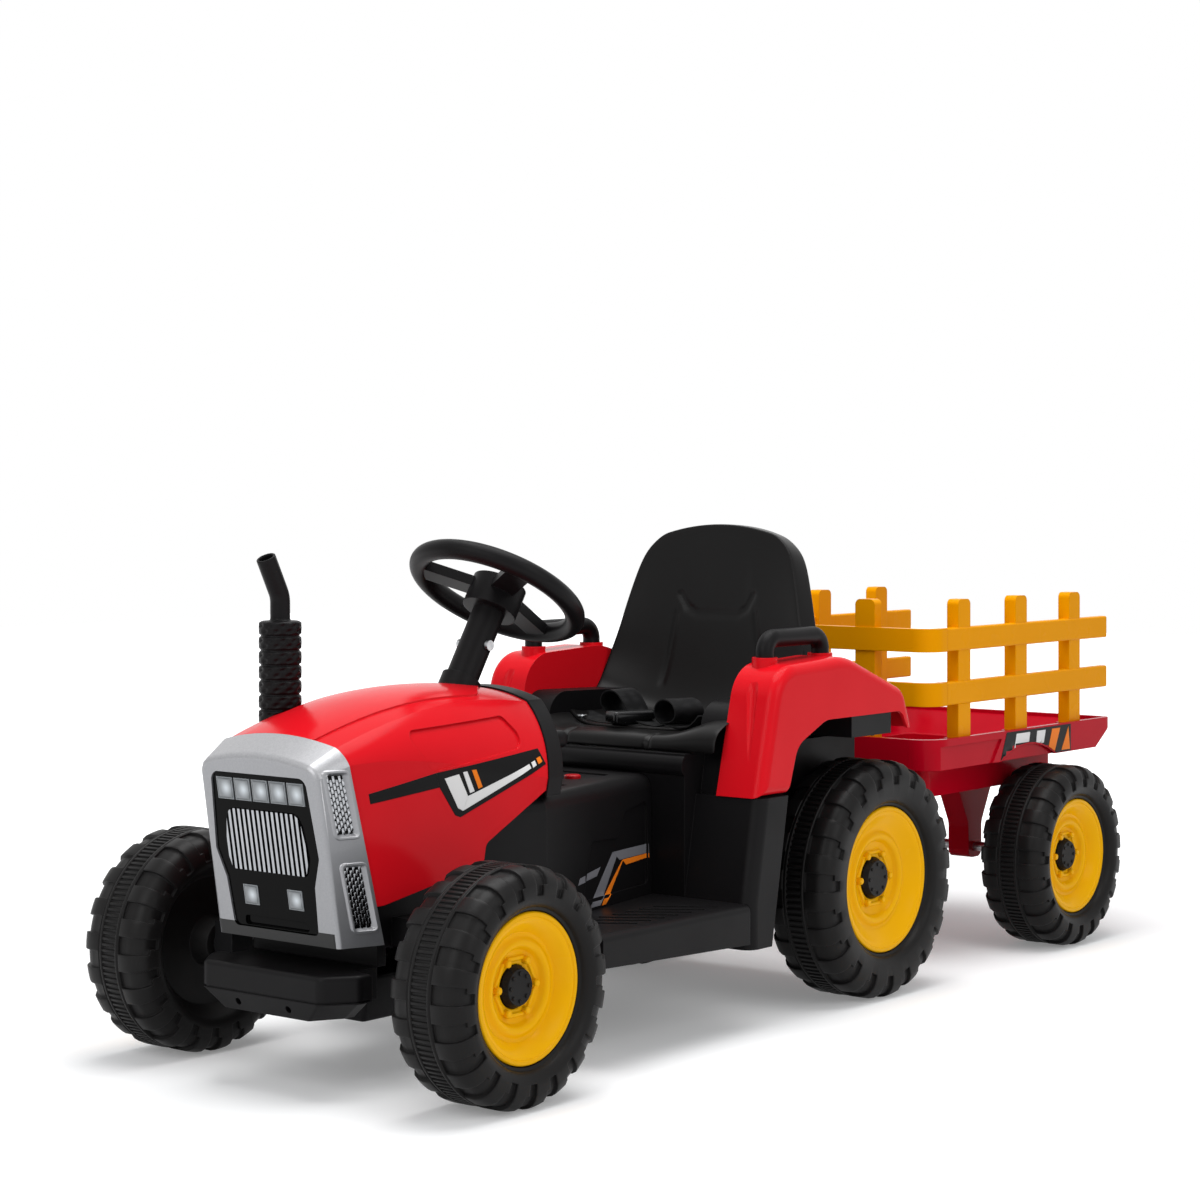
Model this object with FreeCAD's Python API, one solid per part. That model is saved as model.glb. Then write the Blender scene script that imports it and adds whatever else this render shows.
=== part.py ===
import FreeCAD, Part
import math
import os

V = FreeCAD.Vector
ACROSS = V(0, 1, 0)
UP = V(0, 0, 1)

# Driving dimensions in millimetres; lengths run from the rear axle, forward is +X, left is +Y

# Wheels and axles
wheelbase = 664.0
trailer_axle_back = 441.0
front_tyre_radius = 113.0
rear_tyre_radius = 134.0
tyre_width = 90.0
front_rim_radius = 71.0
rear_rim_radius = 82.0
front_wheel_out = 210.5
rear_wheel_out = 171.0
trailer_wheel_out = 169.0
front_cap_radius = 20.0
rear_cap_radius = 23.0
axle_diameter = 12.0
lug_count = 20
lug_groove_width = 7.0
lug_groove_depth = 4.5
rim_recess = 10.0
rim_face_depth = 21.0
rim_seat_depth = 31.0
wheel_dish_depth = 22.0
wheel_hub_radius = 22.0
rim_bolt_count = 6
rim_bolt_diameter = 7.4

# Fits
shaft_clearance = 0.05
fit_gap = 0.3
wall = 4.0
wheel_side_gap = 8.0

# Floor and front frame
floor_bottom = 95.0
floor_top = 137.0
floor_half_width = 205.0
footboard_groove_count = 7
footboard_groove_depth = 2.0
rail_out = 84.0
rail_thickness = 6.0
rail_height = 52.0
rail_ahead = 34.0
beam_rise = 24.0
beam_height = 28.0
beam_half_depth = 14.0
kingpin_gap = 15.5
kingpin_diameter = 12.0
bumper_ahead = 106.0
bumper_depth = 46.0
bumper_half_width = 103.0
bumper_bottom = 75.0
bumper_top = 120.0

# Steering
steer_lock_deg = 20.0
wheel_lock_deg = 40.0
knuckle_arm = 45.0
steering_tilt_deg = 32.0
steering_wheel_behind = 234.0
steering_wheel_z = 467.0
steering_ring_radius = 87.0
steering_grip_radius = 10.5
stem_diameter = 34.0
stem_length = 104.0
guide_diameter = 42.0
guide_length = 60.0
shaft_diameter = 12.0
bolt_run = 64.0
bolt_diameter = 6.0
horn_diameter = 38.0
horn_travel = 2.0
horn_floor = 3.0
tie_rod_thickness = 5.0
tie_rod_width = 18.0
crank_diameter = 10.0
crank_pin_diameter = 7.0
arm_thickness = 6.0
arm_pin_diameter = 8.0

# Hood and nose
hood_rear_behind = 200.0
hood_ahead = 83.0
nose_ahead = 113.5
hood_crown = 371.0
hood_bulge = 6.0
hood_front_crown = 341.0
nose_crown = 323.0
hood_rear_half = 119.0
hood_front_half = 90.0
nose_half = 79.0
nose_bottom = 143.0
hood_lower_front = 180.0
hood_lower_rear = 272.0
cowl_depth = 22.0
hood_wall = 4.0
hood_step = 1.6
hood_rear_lean = -0.25
seam_lean = 0.226
nose_lean = 0.17
vent_width = 21.0
vent_slat_count = 7
mask_behind = 9.0
grille_bar_count = 17
grille_bar_half = 1.6
lamp_count = 5
lamp_half = 9.5
lamp_row_half = 48.0
lower_lamp_y = 30.0
lower_lamp_rise = 42.0

# Exhaust stack
exhaust_behind = 4.0
exhaust_y = -86.5
muffler_radius = 21.5
muffler_top = 443.0
muffler_ring_count = 7
exhaust_pipe_radius = 10.0
exhaust_top = 507.0

# Console, seat base and seat
seat_base_front = 260.0
seat_base_rear = -68.0
deck_top = 290.0
console_top = 266.0
console_rear_half = 72.0
console_front_half = 113.0
console_behind = 79.0
console_taper = 18.0
start_button_ahead = 70.0
start_button_y = 20.0
button_diameter = 18.0
button_travel = 2.0
tray_depth = 2.0
lever_behind = 236.0
lever_y = 62.0
lever_width = 12.0
lever_slot = 62.0
lever_drop = 22.0
lever_rise = 58.0
lever_pin_diameter = 6.0
pedal_behind = 264.0
pedal_y = -150.0
pedal_length = 78.0
pedal_half = 24.0
pedal_rise = 22.0
pedal_pin_diameter = 5.0
column_bottom = 88.0
column_gap = 77.0
column_lean = 0.19
seat_top = 530.0
seat_half = 136.0
seat_top_half = 94.0
seat_shell = 12.0
seat_back = 28.0
seat_lift = 1.7
seat_front_x = 200.0
seat_screw_y = 86.0
seat_screw_diameter = 6.0
belt_width = 38.0
belt_thickness = 2.0
belt_reach = 86.0
belt_rise = 42.0
buckle_length = 54.0
buckle_height = 13.0

# Mudguards
fender_inner = 146.0
fender_outer = 205.0
arch_gap = 30.0
arch_step = 24.0
fender_rise = 90.0
fender_foot_drop = 52.0
handle_tube = 20.0
handle_rise = 34.0
handle_front_x = 178.0
handle_rear_x = 72.0
handle_y = 165.0

# Trailer
tub_front_x = -165.0
tub_rear_behind = 164.0
tub_half_width = 165.0
tub_depth = 37.0
tray_gap = 12.0
well_depth = 40.0
tail_run = 44.0
side_step_ahead = 125.0
relief_depth = 2.5
relief_drop = 9.0
recess_ahead = 51.0
recess_rise = 4.0
recess_gap = 25.0
recess_depth = 4.5
fence_inset = 7.0
rail_tall = 28.0
rail_deep = 12.0
lower_rail_rise = 39.0
upper_rail_rise = 104.0
post_rise = 166.0
post_width = 28.0
post_deep = 16.0
post_set_back = 1.5
side_post_count = 3
hitch_x = -112.0
hitch_pin_diameter = 10.0
drawbar_thickness = 10.0

# Worked-out places
half_tyre = tyre_width / 2
rail_front_x = wheelbase + rail_ahead
bumper_front_x = wheelbase + bumper_ahead
bumper_rear_x = bumper_front_x - bumper_depth
hood_rear_x = wheelbase - hood_rear_behind
hood_front_x = wheelbase + hood_ahead
nose_front_x = wheelbase + nose_ahead
exhaust_x = wheelbase - exhaust_behind
steering_wheel_x = wheelbase - steering_wheel_behind
console_front_x = wheelbase - console_behind
lever_x = wheelbase - lever_behind
pedal_heel_x = wheelbase - pedal_behind
start_button_x = seat_base_front + start_button_ahead
front_axle_z = front_tyre_radius
rear_axle_z = rear_tyre_radius
kingpin_out = front_wheel_out - half_tyre - kingpin_gap
beam_bottom = front_axle_z + beam_rise
beam_top = beam_bottom + beam_height
steer_lock = math.radians(steer_lock_deg)
wheel_lock = math.radians(wheel_lock_deg)
steered_reach = front_tyre_radius * math.cos(steer_lock)
steered_reach += (kingpin_gap + tyre_width) * math.sin(steer_lock)
footboard_front = wheelbase - steered_reach - 2 * wheel_side_gap
base_half = rear_wheel_out - half_tyre - wheel_side_gap
arch_z = 2 * rear_tyre_radius + arch_gap
fender_top = arch_z + fender_rise
column_top = arch_z - fender_foot_drop
wall_top = fender_top - 44
seat_pan = deck_top + seat_lift + seat_shell
rim_plane = half_tyre - rim_recess
tilt = math.radians(steering_tilt_deg)
down_column = V(math.sin(tilt), 0, -math.cos(tilt))
back_from_column = V(-math.cos(tilt), 0, -math.sin(tilt))
steering_centre = V(steering_wheel_x, 0, steering_wheel_z)
crank_radius = knuckle_arm * math.sin(steer_lock) / math.sin(wheel_lock)
tie_rod_x = wheelbase - knuckle_arm
shaft_run = (tie_rod_x + crank_radius * math.cos(tilt) - steering_wheel_x) / math.sin(tilt)
shaft_foot = steering_centre + down_column * shaft_run
crank_tip = shaft_foot + back_from_column * crank_radius
tie_rod_z = crank_tip.z
tray_bottom = 2 * front_tyre_radius + tray_gap
tub_rim = tray_bottom + tub_depth
tub_rear_x = -trailer_axle_back - tub_rear_behind
side_step_x = side_step_ahead - trailer_axle_back
recess_x = recess_ahead - trailer_axle_back
recess_z = front_axle_z + recess_rise
recess_radius = front_tyre_radius + recess_gap
fence_half = tub_half_width - fence_inset
lower_rail_z = tub_rim + lower_rail_rise
upper_rail_z = tub_rim + upper_rail_rise
post_top = tub_rim + post_rise
well_half = trailer_wheel_out - half_tyre - wheel_side_gap - wall
well_bottom = tray_bottom - well_depth
drawbar_z = tray_bottom - wall - drawbar_thickness
middle_x = (wheelbase + front_tyre_radius + tub_rear_x) / 2


# Shape helpers
def block(x0, x1, y0, y1, z0, z1):
    return Part.makeBox(x1 - x0, y1 - y0, z1 - z0, V(x0, y0, z0))


def rod(start, end, diameter):
    return Part.makeCylinder(diameter / 2, (end - start).Length, start, end - start)


def mirrored(shape):
    return shape.mirror(V(0, 0, 0), ACROSS)


def both_sides(shape):
    return [shape, mirrored(shape)]


def rounded_wire(corners, radii):
    """Closed outline through corner points, each corner rounded by its own radius."""
    arrive = []
    middle = []
    leave = []
    for i, corner in enumerate(corners):
        radius = radii[i % len(radii)]
        back = (corners[i - 1] - corner).normalize()
        ahead = (corners[(i + 1) % len(corners)] - corner).normalize()
        half_angle = back.getAngle(ahead) / 2
        run = radius / math.tan(half_angle)
        arrive.append(corner + back * run)
        leave.append(corner + ahead * run)
        inward = (back + ahead)
        if inward.Length > 0:
            inward.normalize()
        middle.append(corner + inward * (radius / math.sin(half_angle) - radius))
    edges = []
    for i, corner in enumerate(corners):
        if radii[i % len(radii)] > 0:
            edges.append(Part.Arc(arrive[i], middle[i], leave[i]).toShape())
        following = arrive[(i + 1) % len(corners)]
        if (following - leave[i]).Length > 0.001:
            edges.append(Part.makeLine(leave[i], following))
    return Part.Wire(edges)


def side_plate(outline, y0, y1, radii=(0,)):
    """Plate from an outline of (x, z) corners, between two distances across."""
    corners = [V(x, y0, z) for x, z in outline]
    return Part.Face(rounded_wire(corners, radii)).extrude(V(0, y1 - y0, 0))


def plan_plate(outline, z0, z1, radii=(0,)):
    """Plate from an outline of (x, y) corners, between two heights."""
    corners = [V(x, y, z0) for x, y in outline]
    return Part.Face(rounded_wire(corners, radii)).extrude(V(0, 0, z1 - z0))


def turned(outline, radii=(0,)):
    """Solid turned about the Y axis from an outline of (radius, along) corners."""
    corners = [V(radius, along, 0) for radius, along in outline]
    return Part.Face(rounded_wire(corners, radii)).revolve(V(0, 0, 0), ACROSS, 360)


def round_edges(shape, radius, wanted):
    """Fillet every edge that the test picks."""
    edges = [edge for edge in shape.Edges if wanted(edge)]
    return shape.makeFillet(radius, edges)


def spread(count, first, last):
    """Evenly spaced places from first to last."""
    step = (last - first) / (count - 1)
    return [first + step * i for i in range(count)]


def swept_tube(points, diameter, bend):
    """Round tube along straight runs joined by tangent arcs of one radius."""
    edges = []
    start = points[0]
    for i in range(1, len(points) - 1):
        back = (points[i - 1] - points[i]).normalize()
        ahead = (points[i + 1] - points[i]).normalize()
        half_angle = back.getAngle(ahead) / 2
        run = bend / math.tan(half_angle)
        arc_start = points[i] + back * run
        arc_end = points[i] + ahead * run
        inward = (back + ahead).normalize()
        arc_middle = points[i] + inward * (bend / math.sin(half_angle) - bend)
        edges.append(Part.makeLine(start, arc_start))
        edges.append(Part.Arc(arc_start, arc_middle, arc_end).toShape())
        start = arc_end
    edges.append(Part.makeLine(start, points[-1]))
    ring = Part.Wire(Part.makeCircle(diameter / 2, points[0], points[1] - points[0]))
    return Part.Wire(edges).makePipeShell([ring], True, False)


pieces = {}


# Wheels: a black moulded body with shoulder lugs, a yellow disc pressed into it and a hub cap
def wheel_body(radius, rim_radius):
    bore = axle_diameter / 2 + shaft_clearance
    shoulder = 16.0
    dish = -half_tyre + wheel_dish_depth
    seat = rim_plane - rim_seat_depth
    outline = [(bore, -half_tyre), (wheel_hub_radius, -half_tyre), (wheel_hub_radius + 3, dish),
               (rim_radius - 8, dish), (rim_radius, -half_tyre + 3), (radius - shoulder, -half_tyre),
               (radius, -half_tyre + shoulder), (radius, half_tyre - shoulder),
               (radius - shoulder, half_tyre), (rim_radius + 14, half_tyre - 1),
               (rim_radius + 3, rim_plane + 1),
               (rim_radius + fit_gap, rim_plane - 3), (rim_radius + fit_gap, seat), (bore, seat)]
    body = turned(outline, [0, 0, 0, 0, 0, 10, 10, 10, 10, 5, 0, 0, 0, 0])
    groove = [(radius + 2, half_tyre - 24), (radius + 2, half_tyre + 2), (radius - 27, half_tyre + 2),
              (radius - 27, half_tyre - 2), (radius - shoulder, half_tyre - lug_groove_depth),
              (radius - lug_groove_depth, half_tyre - shoulder), (radius - lug_groove_depth, half_tyre - 24)]
    corners = [V(r, y, -lug_groove_width / 2) for r, y in groove]
    cutter = Part.Face(rounded_wire(corners, (0,))).extrude(V(0, 0, lug_groove_width))
    pitch = 360.0 / lug_count
    cutters = []
    for i in range(lug_count):
        for side, turn in zip(both_sides(cutter), (0.0, pitch / 2)):
            turned_cutter = side.copy()
            turned_cutter.rotate(V(0, 0, 0), ACROSS, i * pitch + turn)
            cutters.append(turned_cutter)
    return body.cut(cutters)


def wheel_disc(rim_radius, cap_radius):
    bore = axle_diameter / 2 + shaft_clearance
    face = rim_plane - rim_face_depth
    seat = rim_plane - rim_seat_depth
    lip = rim_plane
    ring = rim_radius * 0.65
    skin = 3.0
    outline = [(bore, face), (ring - 10, face), (ring - 6, face + 4), (ring - 1, face + 4),
               (ring + 3, face + 1), (rim_radius - 12, face + 6), (rim_radius - 5, lip - 2),
               (rim_radius - 3, lip),
               (rim_radius, lip), (rim_radius, seat), (rim_radius - skin, seat),
               (rim_radius - skin - 2, lip - 6), (rim_radius - 12, face + 6 - skin), (ring + 3, face
                                                                                      + 1 - skin),
               (cap_radius, face - skin), (cap_radius, seat), (bore, seat)]
    disc = turned(outline)
    bolts = []
    for i in range(rim_bolt_count):
        angle = 2 * math.pi * i / rim_bolt_count
        middle = V(math.cos(angle), 0, math.sin(angle)) * (cap_radius + 7)
        bolts.append(rod(middle + ACROSS * (face - 1), middle + ACROSS * (face + 3), rim_bolt_diameter))
    return disc.fuse(bolts)


def wheel_cap(cap_radius):
    face = rim_plane - rim_face_depth
    inner = cap_radius - 9
    outline = [(0, face + 7), (inner, face + 7), (inner, face), (cap_radius, face),
               (cap_radius, face + 4), (cap_radius - 3, face + 10), (0, face + 10)]
    cap = turned(outline)
    dots = []
    for i in range(8):
        angle = math.pi * i / 4
        middle = V(math.cos(angle), 0, math.sin(angle)) * (cap_radius - 7)
        dots.append(rod(middle + ACROSS * (face + 9), middle + ACROSS * (face + 11.2), 4.0))
    return cap.fuse(dots)


axle_reach = rim_plane - rim_face_depth + 5


def add_wheels(place, centre, tyre_shape, disc_shape, cap_shape):
    for kind, shape in (("tyre", tyre_shape), ("rim", disc_shape), ("hub_cap", cap_shape)):
        placed = shape.copy()
        placed.translate(centre)
        pieces[kind + "_" + place + "_left"] = placed
        pieces[kind + "_" + place + "_right"] = mirrored(placed)


small_wheel = (wheel_body(front_tyre_radius, front_rim_radius),
               wheel_disc(front_rim_radius, front_cap_radius), wheel_cap(front_cap_radius))
large_wheel = (wheel_body(rear_tyre_radius, rear_rim_radius),
               wheel_disc(rear_rim_radius, rear_cap_radius), wheel_cap(rear_cap_radius))
add_wheels("front", V(wheelbase, front_wheel_out, front_axle_z), *small_wheel)
add_wheels("rear", V(0, rear_wheel_out, rear_axle_z), *large_wheel)
add_wheels("trailer", V(-trailer_axle_back, trailer_wheel_out, front_axle_z), *small_wheel)


# Floor pan: hollow moulding with two footboards, open below, grooved on top
def floor_pan():
    rear = seat_base_front
    slope = 9.0
    outline = [(rear, floor_bottom), (footboard_front, floor_bottom + slope),
               (footboard_front, floor_top), (rear, floor_top)]
    pan = side_plate(outline, -floor_half_width, floor_half_width)
    pan = round_edges(pan, 8.0, lambda edge: edge.BoundBox.ZMin > floor_top - 1 and edge.BoundBox.YLength < 1)
    inside = [(rear + wall, floor_bottom - 1), (footboard_front - wall, floor_bottom - 1),
              (footboard_front - wall, floor_top - wall), (rear + wall, floor_top - wall)]
    pan = pan.cut(side_plate(inside, wall - floor_half_width, floor_half_width - wall))
    ribs = [block(rear, footboard_front, y - 2, y + 2, floor_bottom + slope, floor_top - wall + 0.5)
            for y in (-rail_out, 0, rail_out)]
    pan = pan.fuse(ribs)
    grooves = []
    for x in spread(footboard_groove_count, rear + 50, footboard_front - 60):
        groove = block(-4, 4, -34, 34, floor_top - footboard_groove_depth, floor_top + 1)
        groove.rotate(V(0, 0, 0), UP, 35)
        groove.translate(V(x, floor_half_width - 48, 0))
        grooves += both_sides(groove)
    return pan.cut(grooves)


pieces["floor_pan"] = floor_pan()


# Front frame: two rails on the floor, the kingpin beam and the steering bush plate
def front_subframe():
    rail_rear = footboard_front - 40
    rail_top = floor_top + rail_height
    rail = block(rail_rear, rail_front_x, rail_out - rail_thickness, rail_out, floor_top, rail_top)
    beam = block(wheelbase - beam_half_depth, wheelbase + beam_half_depth, -kingpin_out, kingpin_out,
                 beam_bottom, beam_top)
    bosses = [rod(V(wheelbase, side, beam_bottom), V(wheelbase, side, beam_top), 2 * beam_half_depth)
              for side in (-kingpin_out, kingpin_out)]
    cradle = block(rail_front_x - 12, rail_front_x, -rail_out, rail_out, bumper_top, rail_top - 20)
    bush_x = steering_centre.x + (steering_centre.z - rail_top) * math.tan(tilt)
    bush_plate = block(bush_x - 30, bush_x + 30, -rail_out, rail_out, rail_top - 8, rail_top)
    rear_tie = block(rail_rear, rail_rear + 6, -rail_out, rail_out, floor_top, floor_top + 20)
    frame = rail.fuse([mirrored(rail), beam, cradle, bush_plate, rear_tie] + bosses)
    bores = [rod(V(wheelbase, side, beam_bottom - 1), V(wheelbase, side, beam_top + 1),
                 kingpin_diameter + 2 * shaft_clearance) for side in (-kingpin_out, kingpin_out)]
    bores.append(rod(steering_centre, shaft_foot, shaft_diameter + 2 * shaft_clearance))
    return frame.cut(bores)


pieces["front_subframe"] = front_subframe()


# Bumper: a block with cut front corners over a narrower chin
def front_bumper():
    rear = bumper_rear_x
    chin = bumper_bottom + 18
    neck = block(rail_front_x, rear + 5, -rail_out, rail_out, bumper_top - 30, bumper_top)
    plan = [(rear, -bumper_half_width), (bumper_front_x - 30, -bumper_half_width),
            (bumper_front_x, 24 - bumper_half_width), (bumper_front_x, bumper_half_width - 24),
            (bumper_front_x - 30, bumper_half_width), (rear, bumper_half_width)]
    bar = plan_plate(plan, chin, bumper_top, (0, 12, 12, 12, 12, 0))
    bar = round_edges(bar, 5.0, lambda edge: edge.BoundBox.ZMin > bumper_top - 1)
    upper = rounded_wire([V(x, y * 0.97, chin) for x, y in plan], (4,))
    lower = rounded_wire([V(x - 8, y * 0.72, bumper_bottom) for x, y in plan], (4,))
    bar = bar.fuse([Part.makeLoft([lower, upper], True, True), neck])
    groove = plan_plate([(x + 3, y * 1.05) for x, y in plan], chin + 1, chin + 3)
    core = plan_plate([(x - 1.5, y * 0.985) for x, y in plan], chin, chin + 4, (0, 12, 12, 12, 12, 0))
    holes = [rod(V(bumper_front_x + 5, side, bumper_bottom + 9), V(bumper_front_x - 24, side,
                                                                   bumper_bottom + 9), 7)
             for side in (-34, 34)]
    return bar.cut([groove.cut(core)] + holes)


pieces["front_bumper"] = front_bumper()


# Hood and nose sections: an arch with straight sides, each on a plane that leans along X
def arch_section(x, lean, crown, half, flank_top, foot_half, flat, inset=0.0, foot=100.0):
    """Closed arch: x is where its plane meets the crown, lean is forward travel per mm of height,
    flat is how much of its width the low crown takes up before the cheeks turn down."""
    brow_half = flat * half
    brow_z = crown - 0.1 * half

    def at(y, z):
        return V(x + lean * (z - crown), y, z)

    side = half - inset
    bottom = foot_half - inset
    brow = brow_half - 0.5 * inset
    top = crown - inset
    brow_top = brow_z - inset
    cheek_y = brow + 0.65 * (side - brow)
    cheek_z = flank_top + 0.55 * (brow_top - flank_top)
    edges = [Part.makeLine(at(-bottom, foot), at(-side, flank_top)),
             Part.Arc(at(-side, flank_top), at(-cheek_y, cheek_z), at(-brow, brow_top)).toShape(),
             Part.Arc(at(-brow, brow_top), at(0, top), at(brow, brow_top)).toShape(),
             Part.Arc(at(brow, brow_top), at(cheek_y, cheek_z), at(side, flank_top)).toShape(),
             Part.makeLine(at(side, flank_top), at(bottom, foot)),
             Part.makeLine(at(bottom, foot), at(-bottom, foot))]
    return Part.Wire(edges)


def rear_edge(inset, back=0.0):
    return arch_section(hood_rear_x - back, hood_rear_lean, hood_crown, hood_rear_half,
                        hood_lower_rear + 12, hood_rear_half + 1, 0.62, inset)


def waist(inset):
    x = hood_rear_x + 0.36 * (hood_front_x - hood_rear_x)
    half = 0.74 * hood_rear_half + 0.26 * hood_front_half
    return arch_section(x, 0.0, hood_crown + hood_bulge, half, hood_crown - 72, half - 1, 0.68, inset)


def brow(inset):
    x = hood_rear_x + 0.7 * (hood_front_x - hood_rear_x)
    half = 0.45 * hood_rear_half + 0.55 * hood_front_half
    crown = hood_front_crown + 0.82 * (hood_crown - hood_front_crown)
    return arch_section(x, 0.12, crown, half, crown - 52, half + 1, 0.75, inset)


def seam(inset, ahead=0.0):
    return arch_section(hood_front_x + ahead, seam_lean, hood_front_crown, hood_front_half,
                        hood_front_crown - 26, hood_front_half + 10, 0.83, inset)


def nose_edge(inset, ahead=0.0):
    return arch_section(nose_front_x + ahead, nose_lean, nose_crown, nose_half,
                        nose_crown - 20, nose_half + 2, 0.86, inset)


def hood_form(inset):
    return Part.makeLoft([rear_edge(inset), waist(inset), brow(inset), seam(inset)], True, False)


def nose_form(inset):
    return Part.makeLoft([seam(inset), nose_edge(inset, -inset)], True, True)


hood_outer = hood_form(0.0)
hood_skin = hood_form(hood_step)
nose_outer = nose_form(0.0)


def below_hood():
    """Space under the stepped lower edge of the hood."""
    far = 2 * hood_rear_half
    step_x = console_front_x - 12
    outline = [(hood_rear_x - 60, 90), (nose_front_x + 40, 90), (nose_front_x + 40, hood_lower_front - 4),
               (hood_front_x - 46, hood_lower_front), (step_x, hood_lower_front + 26),
               (step_x - 3, hood_lower_front + 46), (hood_rear_x + 25, hood_lower_rear),
               (hood_rear_x - 60, hood_lower_rear)]
    return side_plate(outline, -far, far, (0, 0, 0, 0, 10, 10, 0, 0))


def hood():
    far = 2 * hood_rear_half
    band = plan_plate([(nose_front_x, -44), (nose_front_x, 44), (hood_rear_x + 70, 66), (hood_rear_x + 18,
                                                                                         20),
                       (hood_rear_x + 18, -20), (hood_rear_x + 70, -66)],
                      hood_lower_rear, hood_crown + 40, (0, 0, 30, 8, 8, 30))
    shell = hood_skin.fuse(hood_outer.common(band))
    side_low = hood_crown - 69
    flank = side_plate([(hood_front_x - 105, side_low), (hood_front_x - 80, side_low + 40),
                        (hood_rear_x + 60, side_low + 46), (hood_rear_x + 38, side_low + 15)],
                       -far, far, (12, 8, 8, 12))
    flank = flank.cut(block(hood_rear_x, nose_front_x, -0.5 * hood_front_half, 0.5 * hood_front_half, 0,
                            2 * hood_crown))
    flank = flank.cut(hood_form(hood_step + 2.2))
    shell = shell.cut([flank, hood_form(hood_wall + hood_step), below_hood()])
    hole = rod(steering_centre, shaft_foot, guide_diameter + 2 * fit_gap)
    return shell.cut(hole)


pieces["hood"] = hood()


def nose_plane(ahead, y, z):
    """Point on the leaning front of the nose, moved ahead along X."""
    return V(nose_front_x + ahead + nose_lean * (z - nose_crown), y, z)


def nose_plate(outline, behind, depth, radii=(0,)):
    """Plate parallel to the front of the nose: outline of (y, z), its back face behind the front."""
    corners = [nose_plane(-behind, y, z) for y, z in outline]
    return Part.Face(rounded_wire(corners, radii)).extrude(V(depth, 0, 0))


mask_top = nose_crown - 19
mask_waist = nose_bottom + 57
mask_foot = nose_bottom + 10


def mask_outline(gap):
    """Outline of the black mask: wide brow, cheeks, drawn-in waist and wide foot."""
    top = nose_half - 15 - gap
    cheek = nose_half - 9 - gap
    waist_half = nose_half - 19 - gap
    foot = nose_half - 22 - gap
    half = [(top, mask_top - gap), (cheek, mask_waist + 28), (waist_half, mask_waist), (foot, mask_foot
                                                                                        + gap)]
    return half + [(-y, z) for y, z in reversed(half)]


mask_radii = (10, 6, 6, 6, 6, 6, 6, 10)
vent_low = [(nose_bottom + 16, 62.0), (nose_bottom + 106, 60.0)]


def vent_prism(low, height, grow, y0, y1):
    """Slanted window of a side vent."""
    rear = hood_front_x + 4 + seam_lean * (low - hood_front_crown)
    lean_x = seam_lean * height
    outline = [(rear - grow, low - grow), (rear + vent_width + grow, low - grow),
               (rear + vent_width + lean_x + grow, low + height + grow), (rear + lean_x - grow, low
                                                                          + height + grow)]
    return side_plate(outline, y0, y1, (4,))


def grille_surround():
    frame = nose_outer.cut(block(0, 2 * nose_front_x, -200, 200, 0, nose_bottom))
    front_edges = [edge for edge in frame.Edges
                   if all(abs(v.Point.x - nose_plane(0, 0, v.Point.z).x) < 0.5 for v in edge.Vertexes)
                   and edge.BoundBox.ZMax > nose_bottom + 5]
    frame = frame.makeFillet(7.0, front_edges)
    frame = frame.cut(nose_form(hood_wall))
    window = nose_plate(mask_outline(0.0), 20, 40, mask_radii)
    vents = [vent_prism(low, height, 0.0, -200, 200) for low, height in vent_low]
    return frame.cut([window] + vents)


pieces["grille_surround"] = grille_surround()

lamp_z = mask_top - 16
lower_lamp_z = nose_bottom + lower_lamp_rise
bars_radii = (12, 12, 6, 6, 12, 12)


def bars_outline(gap):
    low = mask_waist + 9 + gap
    high = lamp_z - 19 - gap
    half = [(49 - gap, high), (56 - gap, low + 18), (50 - gap, low)]
    return half + [(-y, z) for y, z in reversed(half)]


def lamp_places():
    places = [(y, lamp_z) for y in spread(lamp_count, -lamp_row_half, lamp_row_half)]
    return places + [(-lower_lamp_y, lower_lamp_z), (lower_lamp_y, lower_lamp_z)]


def lamp_outline(y, z, half):
    return [(y - half, z - half), (y + half, z - half), (y + half, z + half), (y - half, z + half)]


def grille_panel():
    panel = nose_plate(mask_outline(fit_gap), mask_behind, mask_behind - 2, mask_radii)
    cups = [nose_plate(lamp_outline(y, z, lamp_half), mask_behind - 3, 20, (2,)) for y, z in lamp_places()]
    cups.append(nose_plate(bars_outline(0.0), mask_behind - 3, 20, bars_radii))
    slot_low = nose_bottom + 12
    slot = [(-44, slot_low), (44, slot_low), (42, slot_low + 9), (-42, slot_low + 9)]
    cups.append(nose_plate(slot, mask_behind - 4, 20, (3,)))
    flange = nose_plate(mask_outline(-5.0), mask_behind + 2, 2 + mask_behind - hood_wall - 1 - fit_gap,
                        mask_radii)
    return panel.fuse(flange).cut(cups)


pieces["grille_panel"] = grille_panel()


def lamp_lenses():
    lenses = []
    for y, z in lamp_places():
        lens = nose_plate(lamp_outline(y, z, lamp_half - fit_gap), mask_behind - 3, 5, (2,))
        lenses.append(lens)
    return Part.makeCompound(lenses)


pieces["lamp_lenses"] = lamp_lenses()


def grille_bars():
    back = nose_plate(bars_outline(fit_gap), mask_behind - 3, 1.5, bars_radii)
    limit = nose_plate(bars_outline(fit_gap), mask_behind - 3, 20, bars_radii)
    bars = [nose_plate([(y - grille_bar_half, 0), (y + grille_bar_half, 0), (y + grille_bar_half,
                                                                             2 * nose_crown),
                        (y - grille_bar_half, 2 * nose_crown)],
                       mask_behind - 4, 4.5) for y in spread(grille_bar_count, -52, 52)]
    return back.fuse([bar.common(limit) for bar in bars])


pieces["grille_bars"] = grille_bars()


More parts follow.
